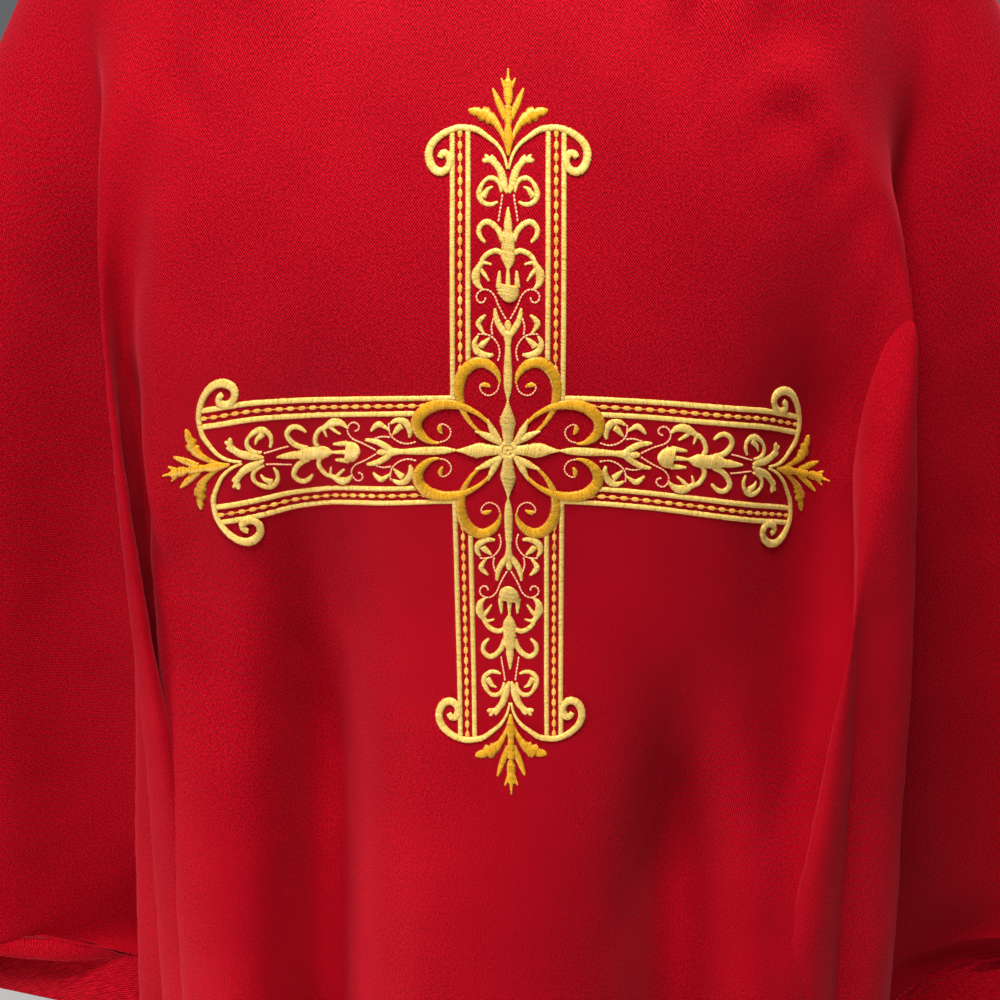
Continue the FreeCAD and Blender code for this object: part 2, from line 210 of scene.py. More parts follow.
# ---- meshes ----
def new_mesh(name, points, faces, smooth_shade=True, uv=None, **attributes):
    """Mesh object from arrays; faces is one array of quads, or a list of face lists."""
    mesh = bpy.data.meshes.new(name)
    if isinstance(faces, np.ndarray):
        mesh.vertices.add(len(points))
        mesh.vertices.foreach_set("co", np.ascontiguousarray(points, np.float32).ravel())
        mesh.loops.add(faces.size)
        mesh.loops.foreach_set("vertex_index", faces.ravel().astype(np.int32))
        mesh.polygons.add(len(faces))
        mesh.polygons.foreach_set("loop_start", np.arange(0, faces.size, 4, dtype=np.int32))
    else:
        mesh.from_pydata([tuple(map(float, p)) for p in points], [], faces)
    mesh.update(calc_edges=True)
    if uv is not None:
        layer = mesh.uv_layers.new(name="cut")
        loops = np.zeros(len(mesh.loops), np.int32)
        mesh.loops.foreach_get("vertex_index", loops)
        layer.data.foreach_set("uv", np.ascontiguousarray(uv[loops], np.float32).ravel())
    for key, values in attributes.items():
        attribute = mesh.attributes.new(key, "FLOAT", "POINT")
        attribute.data.foreach_set("value", values.astype(np.float32))
    if smooth_shade:
        mesh.shade_smooth()
    piece = bpy.data.objects.new(name, mesh)
    bpy.context.scene.collection.objects.link(piece)
    return piece


def ring_faces(rings, corners, offset=0, closed=False):
    """Quads between rings of points, each of that many corners."""
    i, j = np.meshgrid(np.arange(rings if closed else rings - 1), np.arange(corners), indexing="ij")
    a, b = offset + i * corners, offset + (i + 1) % rings * corners
    return np.stack([a + j, a + (j + 1) % corners, b + (j + 1) % corners, b + j], -1).reshape(-1, 4)


def grid_faces(across, down, flip=False):
    """Quads of a grid of points stored column by column."""
    i, j = np.meshgrid(np.arange(across), np.arange(down), indexing="ij")
    a = (i * (down + 1) + j).ravel()
    quad = np.stack([a, a + 1, a + down + 2, a + down + 1], 1)
    return quad[:, ::-1] if flip else quad


def thicken(piece, thickness):
    """Gives a sheet its thickness, inwards from its face."""
    solidify = piece.modifiers.new("thickness", "SOLIDIFY")
    solidify.thickness = thickness
    solidify.offset = -1
    solidify.use_rim = True
    bpy.context.view_layer.update()
    graph = bpy.context.evaluated_depsgraph_get()
    shown = piece.evaluated_get(graph)
    final = bpy.data.meshes.new_from_object(shown, preserve_all_data_layers=True, depsgraph=graph)
    piece.modifiers.clear()
    piece.data = final


# ---- the unseen form, and the drape over it ----
FORM_WIDTHS = (
    (-1.0, 0.17), (-0.62, 0.17), (-0.5, 0.165), (-0.42, 0.168), (-0.30, 0.182), (-0.20, 0.198),
    (-0.12, 0.202), (-0.075, 0.186), (-0.045, 0.155), (-0.02, 0.108), (0.0, 0.075), (0.03, 0.062),
    (0.10, 0.060),
)
FORM_LEVELS = np.linspace(-1.0, 0.10, 111)
FORM_CORNERS = 64
FORM_GAP = 0.010        # the form stays this far behind the guided middle of the cloth
# Fore and aft: the drop down to which the form follows the cloth, the drop below which it falls back
# so that the folds have room, how steeply it does, its least depth, and its depth at the neck.
FORM_DEPTHS = {True: (0.50, 0.30, 0.35, 0.05, 0.066), False: (0.35, 0.50, 0.15, 0.04, 0.062)}
SHOULDER = Vector((0.165, 0.005, -0.095))
HAND = Vector((0.440, -0.020, -0.545))
SHOULDER_RADIUS = 0.058
HAND_RADIUS = 0.030
LIMB_CORNERS = 24
LIMB_RINGS = 14
CAP_RINGS = 6
DRAPE_FRAMES = 60
CLOTH_SETTINGS = {
    "quality": 5, "mass": 0.15, "air_damping": 1, "pin_stiffness": 1,
    "tension_stiffness": 30, "compression_stiffness": 30, "shear_stiffness": 8, "bending_stiffness": 4,
    "tension_damping": 5, "compression_damping": 5, "shear_damping": 5, "bending_damping": 0.5,
}
GUIDED_HALF, FREE_HALF = 0.20, 0.45     # half widths that start as hang() says, and past which they don't
# The held middle of each panel: how firmly, its half width at the neck, how much wider it gets and
# between which drops, the width it fades over, and the drops over which it sets in and lets go.
HELD = {
    True: (1, 0.10, 0.04, (0.16, 0.30), 0.11, (0.075, 0.15), (0.64, 0.88)),
    False: (0.6, 0.04, 0.08, (0.16, 0.34), 0.10, (0.06, 0.22), (0.45, 0.75)),
}
EASED_ROWS = 9
CALMED_ROWS = 6
CALMING_ROUNDS = 9
RELAXING_ROUNDS = 2


def form_depth(z, front):
    followed, falls_from, steepness, least, at_neck = FORM_DEPTHS[front]
    cloth = np.interp(min(-z, followed), DROPS, PROFILES[front])
    depth = cloth - FORM_GAP - steepness * max(-z - falls_from, 0)
    neck = min(max((z + 0.04) / 0.04, 0), 1)
    return max(depth, least) * (1 - neck) + at_neck * neck


def torso():
    """Rings of a torso from the hips to the neck, as points and faces."""
    around = np.linspace(0, 2 * math.pi, FORM_CORNERS, endpoint=False)
    blur = np.linspace(-0.02, 0.02, 9)
    points = []
    for z in FORM_LEVELS:
        width = np.interp(z + blur, *np.transpose(FORM_WIDTHS)).mean()
        power = 2 / np.interp(z, [-0.12, 0], [2.5, 2.0])
        c, s = np.cos(around), np.sin(around)
        x = width * np.sign(c) * np.abs(c) ** power
        y = np.where(s < 0, form_depth(z, True), form_depth(z, False)) * np.sign(s) * np.abs(s) ** power
        points += list(zip(x, y, np.full(FORM_CORNERS, z)))
    bottom = list(range(FORM_CORNERS - 1, -1, -1))
    top = list(range(len(points) - FORM_CORNERS, len(points)))
    return points, ring_faces(len(FORM_LEVELS), FORM_CORNERS).tolist() + [bottom, top]


def limb(start, end, start_radius, end_radius, offset):
    """A round-ended rod, as points and faces."""
    along = (end - start).normalized()
    side = along.orthogonal().normalized()
    other = along.cross(side)
    length = (end - start).length
    turns = [math.pi / 2 * k / CAP_RINGS for k in range(CAP_RINGS + 1)]
    rings = [(-start_radius * math.cos(t), max(start_radius * math.sin(t), MM)) for t in turns]
    for k in range(1, LIMB_RINGS):
        rings.append((length * k / LIMB_RINGS, start_radius + (end_radius - start_radius) * k / LIMB_RINGS))
    rings += [(length + end_radius * math.sin(t), max(end_radius * math.cos(t), MM)) for t in turns]
    points = []
    for height, radius in rings:
        for a in np.linspace(0, 2 * math.pi, LIMB_CORNERS, endpoint=False):
            points.append(tuple(start + along * height + (side * math.cos(a) + other * math.sin(a)) * radius))
    return points, ring_faces(len(rings), LIMB_CORNERS, offset).tolist()


def make_form():
    """Torso and lowered arms: only the simulation meets them."""
    points, faces = torso()
    for side in (-1, 1):
        flip = Vector((side, 1, 1))
        more, quads = limb(SHOULDER * flip, HAND * flip, SHOULDER_RADIUS, HAND_RADIUS, len(points))
        points += more
        faces += quads
    form = new_mesh("form", points, faces)
    form.modifiers.new("collide", "COLLISION")
    form.collision.thickness_outer = 0.004
    form.collision.cloth_friction = 15
    return form


def cut_points(us):
    """The flat points of both panels, which side each is on, and their numbers in each panel's grid."""
    points, front_side = [], []
    grids = {front: np.zeros((COLUMNS + 1, ROWS + 1), int) for front in SIDES}
    for front, grid in grids.items():
        for i, u in enumerate(us):
            high, low = float(top_edge(u, front)), float(bottom_edge(u))
            for j in range(ROWS + 1):
                if not front and j == 0 and abs(u) >= NECK_HALF - 1e-9:
                    grid[i, j] = grids[True][i, j]
                    continue
                grid[i, j] = len(points)
                points.append((u, high + (low - high) * j / ROWS))
                front_side.append(front)
    return np.array(points), np.array(front_side), grids


def tent(flat, front_side):
    """Where the simulation starts: the middles hang as they should, the sides stand out level."""
    u, v = flat.T
    kept = np.clip(u, -GUIDED_HALF, GUIDED_HALF)
    place = np.where(front_side[:, None], hang(kept, v, True), hang(kept, v, False))
    below = -SHOULDER_SLOPE * np.maximum(np.abs(u) - NECK_HALF, 0) - v
    sign = np.where(front_side, -1, 1)
    near = np.minimum(sign * place[:, 1], 0.03 + 1.2 * below)
    far = 0.02 * smooth(0, 0.03, below) + np.minimum(0.10, 0.5 * below)
    share = smooth(GUIDED_HALF, FREE_HALF, np.abs(u))
    y = np.where(below < 1e-6, 0, sign * (near * (1 - share) + far * share))
    return np.stack([place[:, 0] + u - kept, y, place[:, 2]], -1)


def held(flat, front_side):
    """How firmly each point keeps to the shape that hang() gives, from 0 to 1."""
    u, v = np.abs(flat[:, 0]), -flat[:, 1]
    firm = {}
    for front, (most, half, wider, widens, fade, sets_in, lets_go) in HELD.items():
        half = half + wider * smooth(*widens, v)
        beside = 1 - smooth(half, half + fade, u)
        firm[front] = most * beside * smooth(*sets_in, v) * (1 - smooth(*lets_go, v))
    return np.where(front_side, firm[True], firm[False])


def drape():
    """Both panels as they hang, {front: points[column, row]}."""
    us = columns()
    flat, front_side, grids = cut_points(us)
    quads = []
    for front, grid in grids.items():
        quads += grid.ravel()[grid_faces(COLUMNS, ROWS, flip=not front)].tolist()
    cloth = new_mesh("drape", tent(flat, front_side), quads)
    cloth.shape_key_add(name="Basis")
    cut = cloth.shape_key_add(name="cut")
    apart = np.where(front_side, -1.5 * MM, 1.5 * MM)
    cut.data.foreach_set("co", np.stack([flat[:, 0], apart, flat[:, 1]], 1).ravel())
    group = cloth.vertex_groups.new(name="held")
    for k, weight in enumerate(held(flat, front_side)):
        if weight > 0.01:
            group.add([k], float(weight), "REPLACE")
    form = make_form()
    simulate(cloth, cut)
    bpy.data.objects.remove(form)
    shown = cloth.evaluated_get(bpy.context.evaluated_depsgraph_get())
    points = np.array([vertex.co[:] for vertex in shown.to_mesh().vertices])
    bpy.data.objects.remove(cloth)
    return us, {front: points[grid] for front, grid in grids.items()}


def simulate(cloth, cut):
    modifier = cloth.modifiers.new("cloth", "CLOTH")
    for name, value in CLOTH_SETTINGS.items():
        setattr(modifier.settings, name, value)
    modifier.settings.rest_shape_key = cut
    modifier.settings.vertex_group_mass = "held"
    modifier.collision_settings.use_collision = True
    modifier.collision_settings.distance_min = 0.005
    modifier.collision_settings.collision_quality = 2
    modifier.point_cache.frame_end = DRAPE_FRAMES
    scene = bpy.context.scene
    scene.frame_end = DRAPE_FRAMES
    for number in range(1, DRAPE_FRAMES + 1):
        scene.frame_set(number)


def ease(us, points):
    """Spreads the give of the first row, next to the shoulder seam, over the rows below it."""
    for column in np.flatnonzero(np.abs(us) > NECK_HALF - MM):
        line = points[column, :EASED_ROWS + 1]
        along = travelled(line)
        even = np.linspace(0, along[-1], EASED_ROWS + 1)
        points[column, :EASED_ROWS + 1] = np.stack([np.interp(even, along, line[:, k]) for k in range(3)], 1)
    return points


def evened(rows):
    """Rows of points, each moved towards the middle of its neighbours; the first and last stay."""
    rows = rows.copy()
    rows[1:-1] = (rows[:-2] + 2 * rows[1:-1] + rows[2:]) / 4
    return rows


def relax(points, rounds, keep):
    """Softens what the simulation left jagged; keep is 1 where the cloth stays as it is."""
    for _ in range(rounds):
        points = points + (evened(points) - points) * (1 - keep)[..., None]
        down = evened(points.swapaxes(0, 1)).swapaxes(0, 1)
        points = points + (down - points) * (1 - keep)[..., None]
    return points


# ---- points on the draped cloth ----
RIPPLE_SIZE = 0.0016    # height of a wave, as a share of its length
RIPPLE_COUNT = 14
RIPPLES = [             # length of a wave, the way it runs, and its phase
    (random.uniform(18, 60) * MM, random.uniform(0, math.pi), random.uniform(0, 2 * math.pi))
    for _ in range(RIPPLE_COUNT)
]


def weights(t):
    """How much four neighbours in a row count at a share t between the middle two."""
    return (
        ((-0.5 * t + 1.0) * t - 0.5) * t,
        (1.5 * t - 2.5) * t * t + 1,
        ((-1.5 * t + 2.0) * t + 0.5) * t,
        (0.5 * t - 0.5) * t * t,
    )


class Panel:
    """One draped panel: at() gives the place of any point of the flat cut."""

    def __init__(self, us, points, front):
        self.us, self.points, self.front = us, points, front
        self.high, self.low = top_edge(us, front), bottom_edge(us)

    def down_column(self, column, row):
        """Place along simulated columns; past its ends a column runs straight on."""
        inside = np.clip(row, 0, ROWS)
        j = np.clip(np.floor(inside).astype(int), 0, ROWS - 1)
        place = 0
        for b, weight in enumerate(weights(inside - j)):
            place = place + self.points[column, np.clip(j + b - 1, 0, ROWS)] * weight[..., None]
        end = np.where(row < 0, 0, ROWS - 1)
        slope = self.points[column, end + 1] - self.points[column, end]
        return place + slope * (row - inside)[..., None]

    def surface(self, u, v):
        """Smooth surface through the simulated points."""
        column = np.interp(u, self.us, np.arange(COLUMNS + 1))
        i = np.clip(np.floor(column).astype(int), 0, COLUMNS - 1)
        high, low = top_edge(u, self.front), bottom_edge(u)
        own_row = (v - high) / (low - high) * ROWS
        outer = smooth(0.25, 0.40, np.abs(u))
        place = 0
        for a, weight in enumerate(weights(column - i)):
            near = np.clip(i + a - 1, 0, COLUMNS)
            its_row = (v - self.high[near]) / (self.low[near] - self.high[near]) * ROWS
            row = its_row * (1 - outer) + own_row * outer
            place = place + self.down_column(near, row) * weight[..., None]
        return place

    def normal(self, u, v):
        """Outward normal of the smooth surface."""
        step = 2 * MM
        across = self.surface(u + step, v) - self.surface(u - step, v)
        down = self.surface(u, v - step) - self.surface(u, v + step)
        return unit(np.cross(down, across) if self.front else np.cross(across, down))

    def ripple(self, u, v):
        """Small waves that a washed and pressed cloth keeps."""
        height = np.zeros(np.shape(u))
        for length, turn, phase in RIPPLES:
            along = u * math.cos(turn) + v * math.sin(turn)
            height += np.sin(2 * math.pi * along / length + phase) * length
        edge = smooth(0, 0.05, top_edge(u, self.front) - v) * smooth(0, 0.05, v - bottom_edge(u))
        return height * RIPPLE_SIZE * edge

    def at(self, u, v, height=0.0):
        """Place at a height above the outer face."""
        u, v = np.asarray(u, float), np.asarray(v, float)
        lift = self.ripple(u, v) + height
        return self.surface(u, v) + self.normal(u, v) * lift[..., None]


def calm_neck(us, points):
    """Evens the neck's edge, and less and less the rows below it."""
    middle = np.flatnonzero(np.abs(us) <= NECK_HALF + MM)
    edge = calm = points[middle, 0]
    for _ in range(CALMING_ROUNDS):
        calm = evened(calm)
    fade = 1 - smooth(0, CALMED_ROWS, np.arange(ROWS + 1))
    points[middle] += (calm - edge)[:, None] * fade[None, :, None]
    return points


def strip(u, upper, lower, rows):
    """Places in the flat cut, column by column, evenly down from one edge to another."""
    u = u[:, None] + np.zeros((1, rows + 1))
    down = np.linspace(0, 1, rows + 1)[None, :]
    return u, upper(u) * (1 - down) + lower(u) * down


us, draped = drape()
PANELS = {}
for side_is_front, side_points in draped.items():
    u_grid, v_grid = strip(us, lambda u: top_edge(u, side_is_front), bottom_edge, ROWS)
    firm = held(pairs(u_grid, v_grid), np.full(u_grid.size, side_is_front)).reshape(u_grid.shape)
    firm[:, 0] = 1
    side_points = ease(us, calm_neck(us, side_points))
    side_points = relax(side_points, RELAXING_ROUNDS, np.clip(firm * 1.5, 0, 1))
    PANELS[side_is_front] = Panel(us, side_points, side_is_front)


# ---- materials ----
def material(name):
    """Empty node material with its tree and its shader."""
    made = bpy.data.materials.new(name)
    made.use_nodes = True
    tree = made.node_tree
    tree.nodes.clear()
    shader = node(tree, "BsdfPrincipled")
    node(tree, "OutputMaterial", Surface=shader.outputs["BSDF"])
    return made, tree, shader


def feed(socket, value):
    """Links another node's output to an input, or sets it to a value."""
    if isinstance(value, bpy.types.NodeSocket):
        socket.id_data.links.new(value, socket)
    else:
        socket.default_value = value


def set_inputs(made, **values):
    """Feeds inputs by name, with spaces as underscores."""
    for key, value in values.items():
        feed(made.inputs[key.replace("_", " ")], value)


def node(tree, kind, *inputs, **values):
    """Node of a kind; values in lower case set its properties, the others feed its inputs."""
    made = tree.nodes.new("ShaderNode" + kind)
    for key, value in values.items():
        if key.islower():
            setattr(made, key, value)
        else:
            set_inputs(made, **{key: value})
    for socket, value in zip(made.inputs, inputs):
        feed(socket, value)
    return made


def reckon(operation, *values):
    """Output of a math node; the first value is another node's output."""
    return node(values[0].id_data, "Math", *values, operation=operation).outputs[0]


def plus(first, second):
    return reckon("ADD", first, second)


def times(first, second):
    return reckon("MULTIPLY", first, second)


def noise(place, scale, detail, output="Fac"):
    return node(place.id_data, "TexNoise", Vector=place, Scale=scale, Detail=detail).outputs[output]


def relief(height, strength, distance):
    made = node(height.id_data, "Bump", Height=height, Strength=strength, Distance=distance)
    return made.outputs["Normal"]


def ramp(factor, stops):
    made = node(factor.id_data, "ValToRGB", factor)
    elements = made.color_ramp.elements
    while len(elements) < len(stops):
        elements.new(0.5)
    for element, (place, colour) in zip(elements, stops):
        element.position = place
        element.color = (*colour, 1)
    return made.outputs["Color"]


YARN = 1.05 * MM        # from one rib of the twill to the next
RIB_TURNS = (56, -54)   # degrees


def twill(name, dark, middle, light, bump=0.35, sheen=0.25):
    """Fine twill: two crossed sets of diagonal ribs in the flat cut, with uneven yarns."""
    made, tree, shader = material(name)
    place = node(tree, "UVMap", uv_map="cut").outputs["UV"]
    warp = noise(place, 260.0, 2.0, "Color")
    shift = node(tree, "VectorMath", warp, operation="SCALE", Scale=0.45 * YARN).outputs[0]
    bent = node(tree, "VectorMath", place, shift, operation="ADD").outputs[0]
    split = node(tree, "SeparateXYZ", bent).outputs
    ribs = []
    for turn in map(math.radians, RIB_TURNS):
        across = times(split["X"], 2 * math.pi * math.sin(turn) / YARN)
        up = times(split["Y"], 2 * math.pi * math.cos(turn) / YARN)
        ribs.append(reckon("SINE", plus(across, up)))
    weave = plus(times(plus(ribs[0], times(ribs[1], 0.7)), 0.29), 0.5)
    yarn = noise(place, 900.0, 1.0)
    cloud = noise(place, 14.0, 3.0)
    # The ribs, uneven yarns and broad clouds add up to a tone round the middle of the ramp.
    tone = plus(plus(plus(times(weave, 0.64), times(yarn, 0.8)), times(cloud, 0.2)), -0.32)
    set_inputs(
        shader, Base_Color=ramp(tone, ((0.0, dark), (0.5, middle), (1.0, light))), Roughness=0.72,
        Normal=relief(plus(weave, times(yarn, 0.8)), bump, 0.22 * MM),
        Specular_IOR_Level=0.12, Specular_Tint=(1.0, 0.25, 0.32, 1),
        Sheen_Weight=sheen, Sheen_Roughness=0.45, Sheen_Tint=(1.0, 0.08, 0.12, 1),
    )
    return made


PAINTED_THREAD_GLOW = 0.10      # painted glow: each thread gives off light in its own colour, so it stays bright in shade


def thread(name, shadow, body, shine):
    """Glossy rayon thread: the stitches' tone attribute paints the shade and the shine of each."""
    made, tree, shader = material(name)
    tone = node(tree, "Attribute", attribute_name="tone").outputs["Fac"]
    fleck = noise(node(tree, "TexCoord").outputs["Object"], 1500.0, 2.0)
    mixed = plus(tone, times(plus(fleck, -0.5), 1.3))
    # Painted shade and highlight: low tones take the shadow colour and high tones the shine; the flecks are
    # the thread's own uneven tone.
    colour = ramp(mixed, ((0.08, shadow), (0.52, body), (0.95, shine)))
    made.cycles.emission_sampling = "NONE"
    # Painted glow: the thread emits its own colour, though it is no lamp.
    set_inputs(
        shader, Base_Color=colour, Emission_Color=colour, Emission_Strength=PAINTED_THREAD_GLOW, Roughness=0.38,
        Normal=relief(fleck, 0.5, 0.12 * MM), Sheen_Weight=0.15,
        Specular_IOR_Level=0.7, Specular_Tint=(1.0, 0.84, 0.45, 1),
    )
    return made


def felt(name, dark, light):
    """Soft matt cloth with no visible weave."""
    made, tree, shader = material(name)
    fibre = noise(node(tree, "TexCoord").outputs["Object"], 700.0, 5.0)
    colour = ramp(fibre, ((0.3, dark), (0.7, light)))
    set_inputs(shader, Base_Color=colour, Roughness=0.9, Normal=relief(fibre, 0.5, 0.3 * MM))
    return made


# Surfaces by name; most have the name of the slot that they are for.
SURFACES = {
    "red_twill": twill("red_twill", (0.02, 0.0, 0.0), (0.33, 0.0, 0.006), (0.80, 0.010, 0.026)),
    "red_facing": twill("red_facing", (0.05, 0.0, 0.001), (0.28, 0.0, 0.006), (0.54, 0.005, 0.018)),
    "seam_tape": twill(
        "seam_tape", (0.13, 0.001, 0.004), (0.30, 0.003, 0.010), (0.46, 0.008, 0.020), bump=0.6, sheen=0.1,
    ),
    "backing": felt("backing", (0.62, 0.60, 0.56), (0.86, 0.85, 0.81)),
}
# The tone of each thread in the shadow of a stitch, on its body and where it shines.
THREADS = {
    "light_gold_thread": ((0.32, 0.15, 0.012), (0.96, 0.60, 0.115), (1.0, 0.84, 0.36)),
    "dark_gold_thread": ((0.24, 0.08, 0.001), (0.78, 0.345, 0.004), (0.97, 0.56, 0.03)),
    "orange_gold_thread": ((0.32, 0.08, 0.006), (0.86, 0.36, 0.04), (0.98, 0.58, 0.12)),
    "cream_thread": ((0.50, 0.13, 0.06), (0.93, 0.38, 0.19), (1.0, 0.58, 0.33)),
    "red_sewing_thread": ((0.12, 0.0, 0.004), (0.34, 0.002, 0.01), (0.55, 0.02, 0.03)),
}
for thread_name, tones in THREADS.items():
    SURFACES[thread_name] = thread(thread_name, *tones)


def finish(piece, slot, *nodes, surface=None):
    """Gives a piece its surface, the one named by its slot unless another is given, and lets it stand for its
    CAD nodes.
    """
    piece.data.materials.clear()
    piece.data.materials.append(SURFACES[surface or slot])
    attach(piece, "root")
    if nodes:
        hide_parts(*nodes)


# ---- cloth pieces ----
FINE_COLUMNS = 290
FINE_ROWS = 160
BINDING_CORNERS = 12
BINDING_TWIST = 0.03


def panel_piece(front):
    """One panel, with its thickness."""
    share = np.linspace(0, COLUMNS, FINE_COLUMNS + 1)
    u = meet_neck(np.interp(share, np.arange(COLUMNS + 1), us))
    u, v = strip(u, lambda u: top_edge(u, front), bottom_edge, FINE_ROWS)
    points = PANELS[front].at(u, v).reshape(-1, 3)
    name = SIDES[front] + "_panel"
    faces = grid_faces(FINE_COLUMNS, FINE_ROWS, flip=not front)
    piece = new_mesh(name + "_cloth", points, faces, uv=pairs(u, v))
    thicken(piece, CLOTH)
    finish(piece, "red_twill", name)


def band(node_name, front, u, upper, lower, rows, slot, flat=None):
    """A strip of cloth inside the garment, between two edges of the flat cut."""
    grid, v = strip(u, upper, lower, rows)
    points = PANELS[front].at(grid, v, -CLOTH - FACING_GAP).reshape(-1, 3)
    faces = grid_faces(len(u) - 1, rows, flip=not front)
    piece = new_mesh(node_name + "_cloth", points, faces, uv=pairs(grid, v))
    thicken(piece, FACING)
    finish(piece, slot, node_name)
    flat = flat or (float(np.ptp(grid)), float(np.ptp(v)))


def neck_facing(front):
    reach_out = NECK_HALF + FACING_WIDTH

    def lower(u):
        return -(NECK_DROPS[front] + FACING_WIDTH) * np.sqrt(1 - (u / reach_out) ** 2)

    def upper(u):
        return top_edge(u, front) - MM

    u = np.linspace(-0.96 * reach_out, 0.96 * reach_out, 96)
    band(SIDES[front] + "_neck_facing", front, u, upper, lower, 14, "red_facing")


def hem_rise(u, width):
    """Height in the cut of a strip of that width along the hem."""
    slope = (bottom_edge(u + MM) - bottom_edge(u - MM)) / (2 * MM)
    return bottom_edge(u) + np.minimum(width * np.hypot(1, slope), 0.8 * CUFF)


def hem_facing(front):
    u = np.linspace(-HALF_WIDTH + HEM_WIDTH / 2, HALF_WIDTH - HEM_WIDTH / 2, 260)
    length = float(np.hypot(np.diff(u), np.diff(bottom_edge(u))).sum())
    band(
        SIDES[front] + "_hem_facing", front, u, lambda u: hem_rise(u, HEM_WIDTH), bottom_edge, 5,
        "red_facing", flat=(length, HEM_WIDTH),
    )


def shoulder_tape(side):
    """Woven tape behind the seam; side is 1 for the wearer's left."""
    u = np.linspace(NECK_HALF + FACING_WIDTH, HALF_WIDTH - 12 * MM, 120) * side
    name = "left_shoulder_tape" if side > 0 else "right_shoulder_tape"

    def seam(u):
        return top_edge(u, True) - SEAM_ALLOWANCE

    flat = float(np.ptp(u)) * math.hypot(1, SHOULDER_SLOPE), TAPE_WIDTH
    band(name, True, u[::side], seam, lambda u: seam(u) - TAPE_WIDTH, 4, "seam_tape", flat=flat)


def neck_binding():
    """Narrow rolled edge all round the neck."""
    u = NECK_HALF * np.sin(np.linspace(-math.pi / 2, math.pi / 2, 90))
    front, back = [PANELS[side].at(u, top_edge(u, side), -CLOTH / 2) for side in SIDES]
    line = np.concatenate([front[:-1], back[::-1][:-1]])
    tangent = unit(np.roll(line, -1, 0) - np.roll(line, 1, 0))
    side = unit(np.cross(tangent, (0, 0.3, 1.0)))
    other = np.cross(tangent, side)
    turn = np.linspace(0, 2 * math.pi, BINDING_CORNERS, endpoint=False)[None, :, None]
    swell = 1 + BINDING_TWIST * np.sin(np.arange(len(line)) * 2.1)[:, None, None]
    outward = side[:, None] * np.cos(turn) + other[:, None] * np.sin(turn)
    rings = line[:, None] + outward * BINDING_RADIUS * swell
    round_it = np.arange(BINDING_CORNERS)[None, :] * BINDING_RADIUS * 0.63
    uv = np.stack(np.broadcast_arrays(travelled(line)[:, None], round_it), -1).reshape(-1, 2)
    faces = ring_faces(len(line), BINDING_CORNERS, closed=True)
    piece = new_mesh("neck_binding_roll", rings.reshape(-1, 3), faces, uv=uv)
    finish(piece, "red_binding", "neck_binding", surface="red_facing")


LOOP_RADIUS = 21.5 * MM
LOOP_WIDTH = 7 * MM
LOOP_THICKNESS = 1 * MM
LOOP_DROP = 12 * MM
LOOP_GAP = 0.5 * MM
LOOP_SLACK = 0.10


def hanger_loop():
    """Half ring of narrow tape that hangs inside the back neck."""
    top = -BACK_NECK_DROP - LOOP_DROP
    inside = CLOTH + FACING_GAP + FACING
    out = Vector(PANELS[False].normal(np.array([0.0]), np.array([top]))[0])
    turns = np.linspace(0, math.pi, 40)
    ends = PANELS[False].at([-LOOP_RADIUS, LOOP_RADIUS], [top, top], -inside)
    middle = Vector((ends[0] + ends[1]) / 2)
    across = Vector(ends[1] - ends[0]).normalized()
    down = across.cross(out).normalized()
    if down.z > 0:
        down = -down
    points = []
    for turn in turns:
        round_it = across * -math.cos(turn) + down * math.sin(turn)
        centre = middle - out * (LOOP_WIDTH / 2 + LOOP_GAP) + round_it * LOOP_RADIUS
        slack = 1 + LOOP_SLACK * math.sin(turn)
        for radial, wide in ((-1, -1), (-1, 1), (1, 1), (1, -1)):
            off_centre = round_it * radial * LOOP_THICKNESS / 2
            points.append(centre + off_centre + out * wide * LOOP_WIDTH / 2 * slack)
    last = 4 * (len(turns) - 1)
    faces = ring_faces(len(turns), 4).tolist() + [(3, 2, 1, 0), tuple(range(last, last + 4))]
    uv = np.array([(k // 4 * 0.0017, k % 4 * LOOP_WIDTH) for k in range(len(points))])
    piece = new_mesh("hanger_loop_tape", points, faces, uv=uv)
    finish(piece, "red_binding", "hanger_loop", surface="seam_tape")


# ---- stitches: each form is rings of points (across, outward, height) in the flat cut ----
# Round the top of a ring of satin stitch, as shares of its half width and of its height.
DOME = ((-1, 0), (-0.80, 0.62), (-0.48, 0.90), (-0.16, 1), (0.16, 1), (0.48, 0.90), (0.80, 0.62), (1, 0))
UNDERSIDE = 0.25 * MM


class Stitches:
    """Collects stitched forms and makes one piece of them."""

    def __init__(self):
        self.points, self.tones, self.faces, self.count = [], [], [], 0

    def add(self, rings, tones):
        """rings is rows of an even number of corners; the ends are closed."""
        rows, corners = rings.shape[:2]
        quads = ring_faces(rows, corners)
        caps = []
        for k in range(corners // 2 - 1):
            cap = [k, k + 1, corners - 2 - k, corners - 1 - k]
            caps.append(cap[::-1])
            caps.append([(rows - 1) * corners + c for c in cap])
        quads = np.concatenate([quads, np.array(caps)])
        flat = rings.reshape(-1, 3)
        p = flat[quads] - flat.mean(0)
        volume = (np.cross(p[:, 0], p[:, 1]) * p[:, 2]).sum() + (np.cross(p[:, 0], p[:, 2]) * p[:, 3]).sum()
        self.faces.append((quads if volume > 0 else quads[:, ::-1]) + self.count)
        self.points.append(flat)
        self.tones.append(tones.ravel())
        self.count += len(flat)

    def piece(self, name, slot, *nodes, surface=None, front=True):
        points = np.concatenate(self.points)
        places = PANELS[front].at(points[:, 0], points[:, 1], points[:, 2])
        made = new_mesh(name, places, np.concatenate(self.faces), tone=np.concatenate(self.tones))
        finish(made, slot, *nodes, surface=surface)


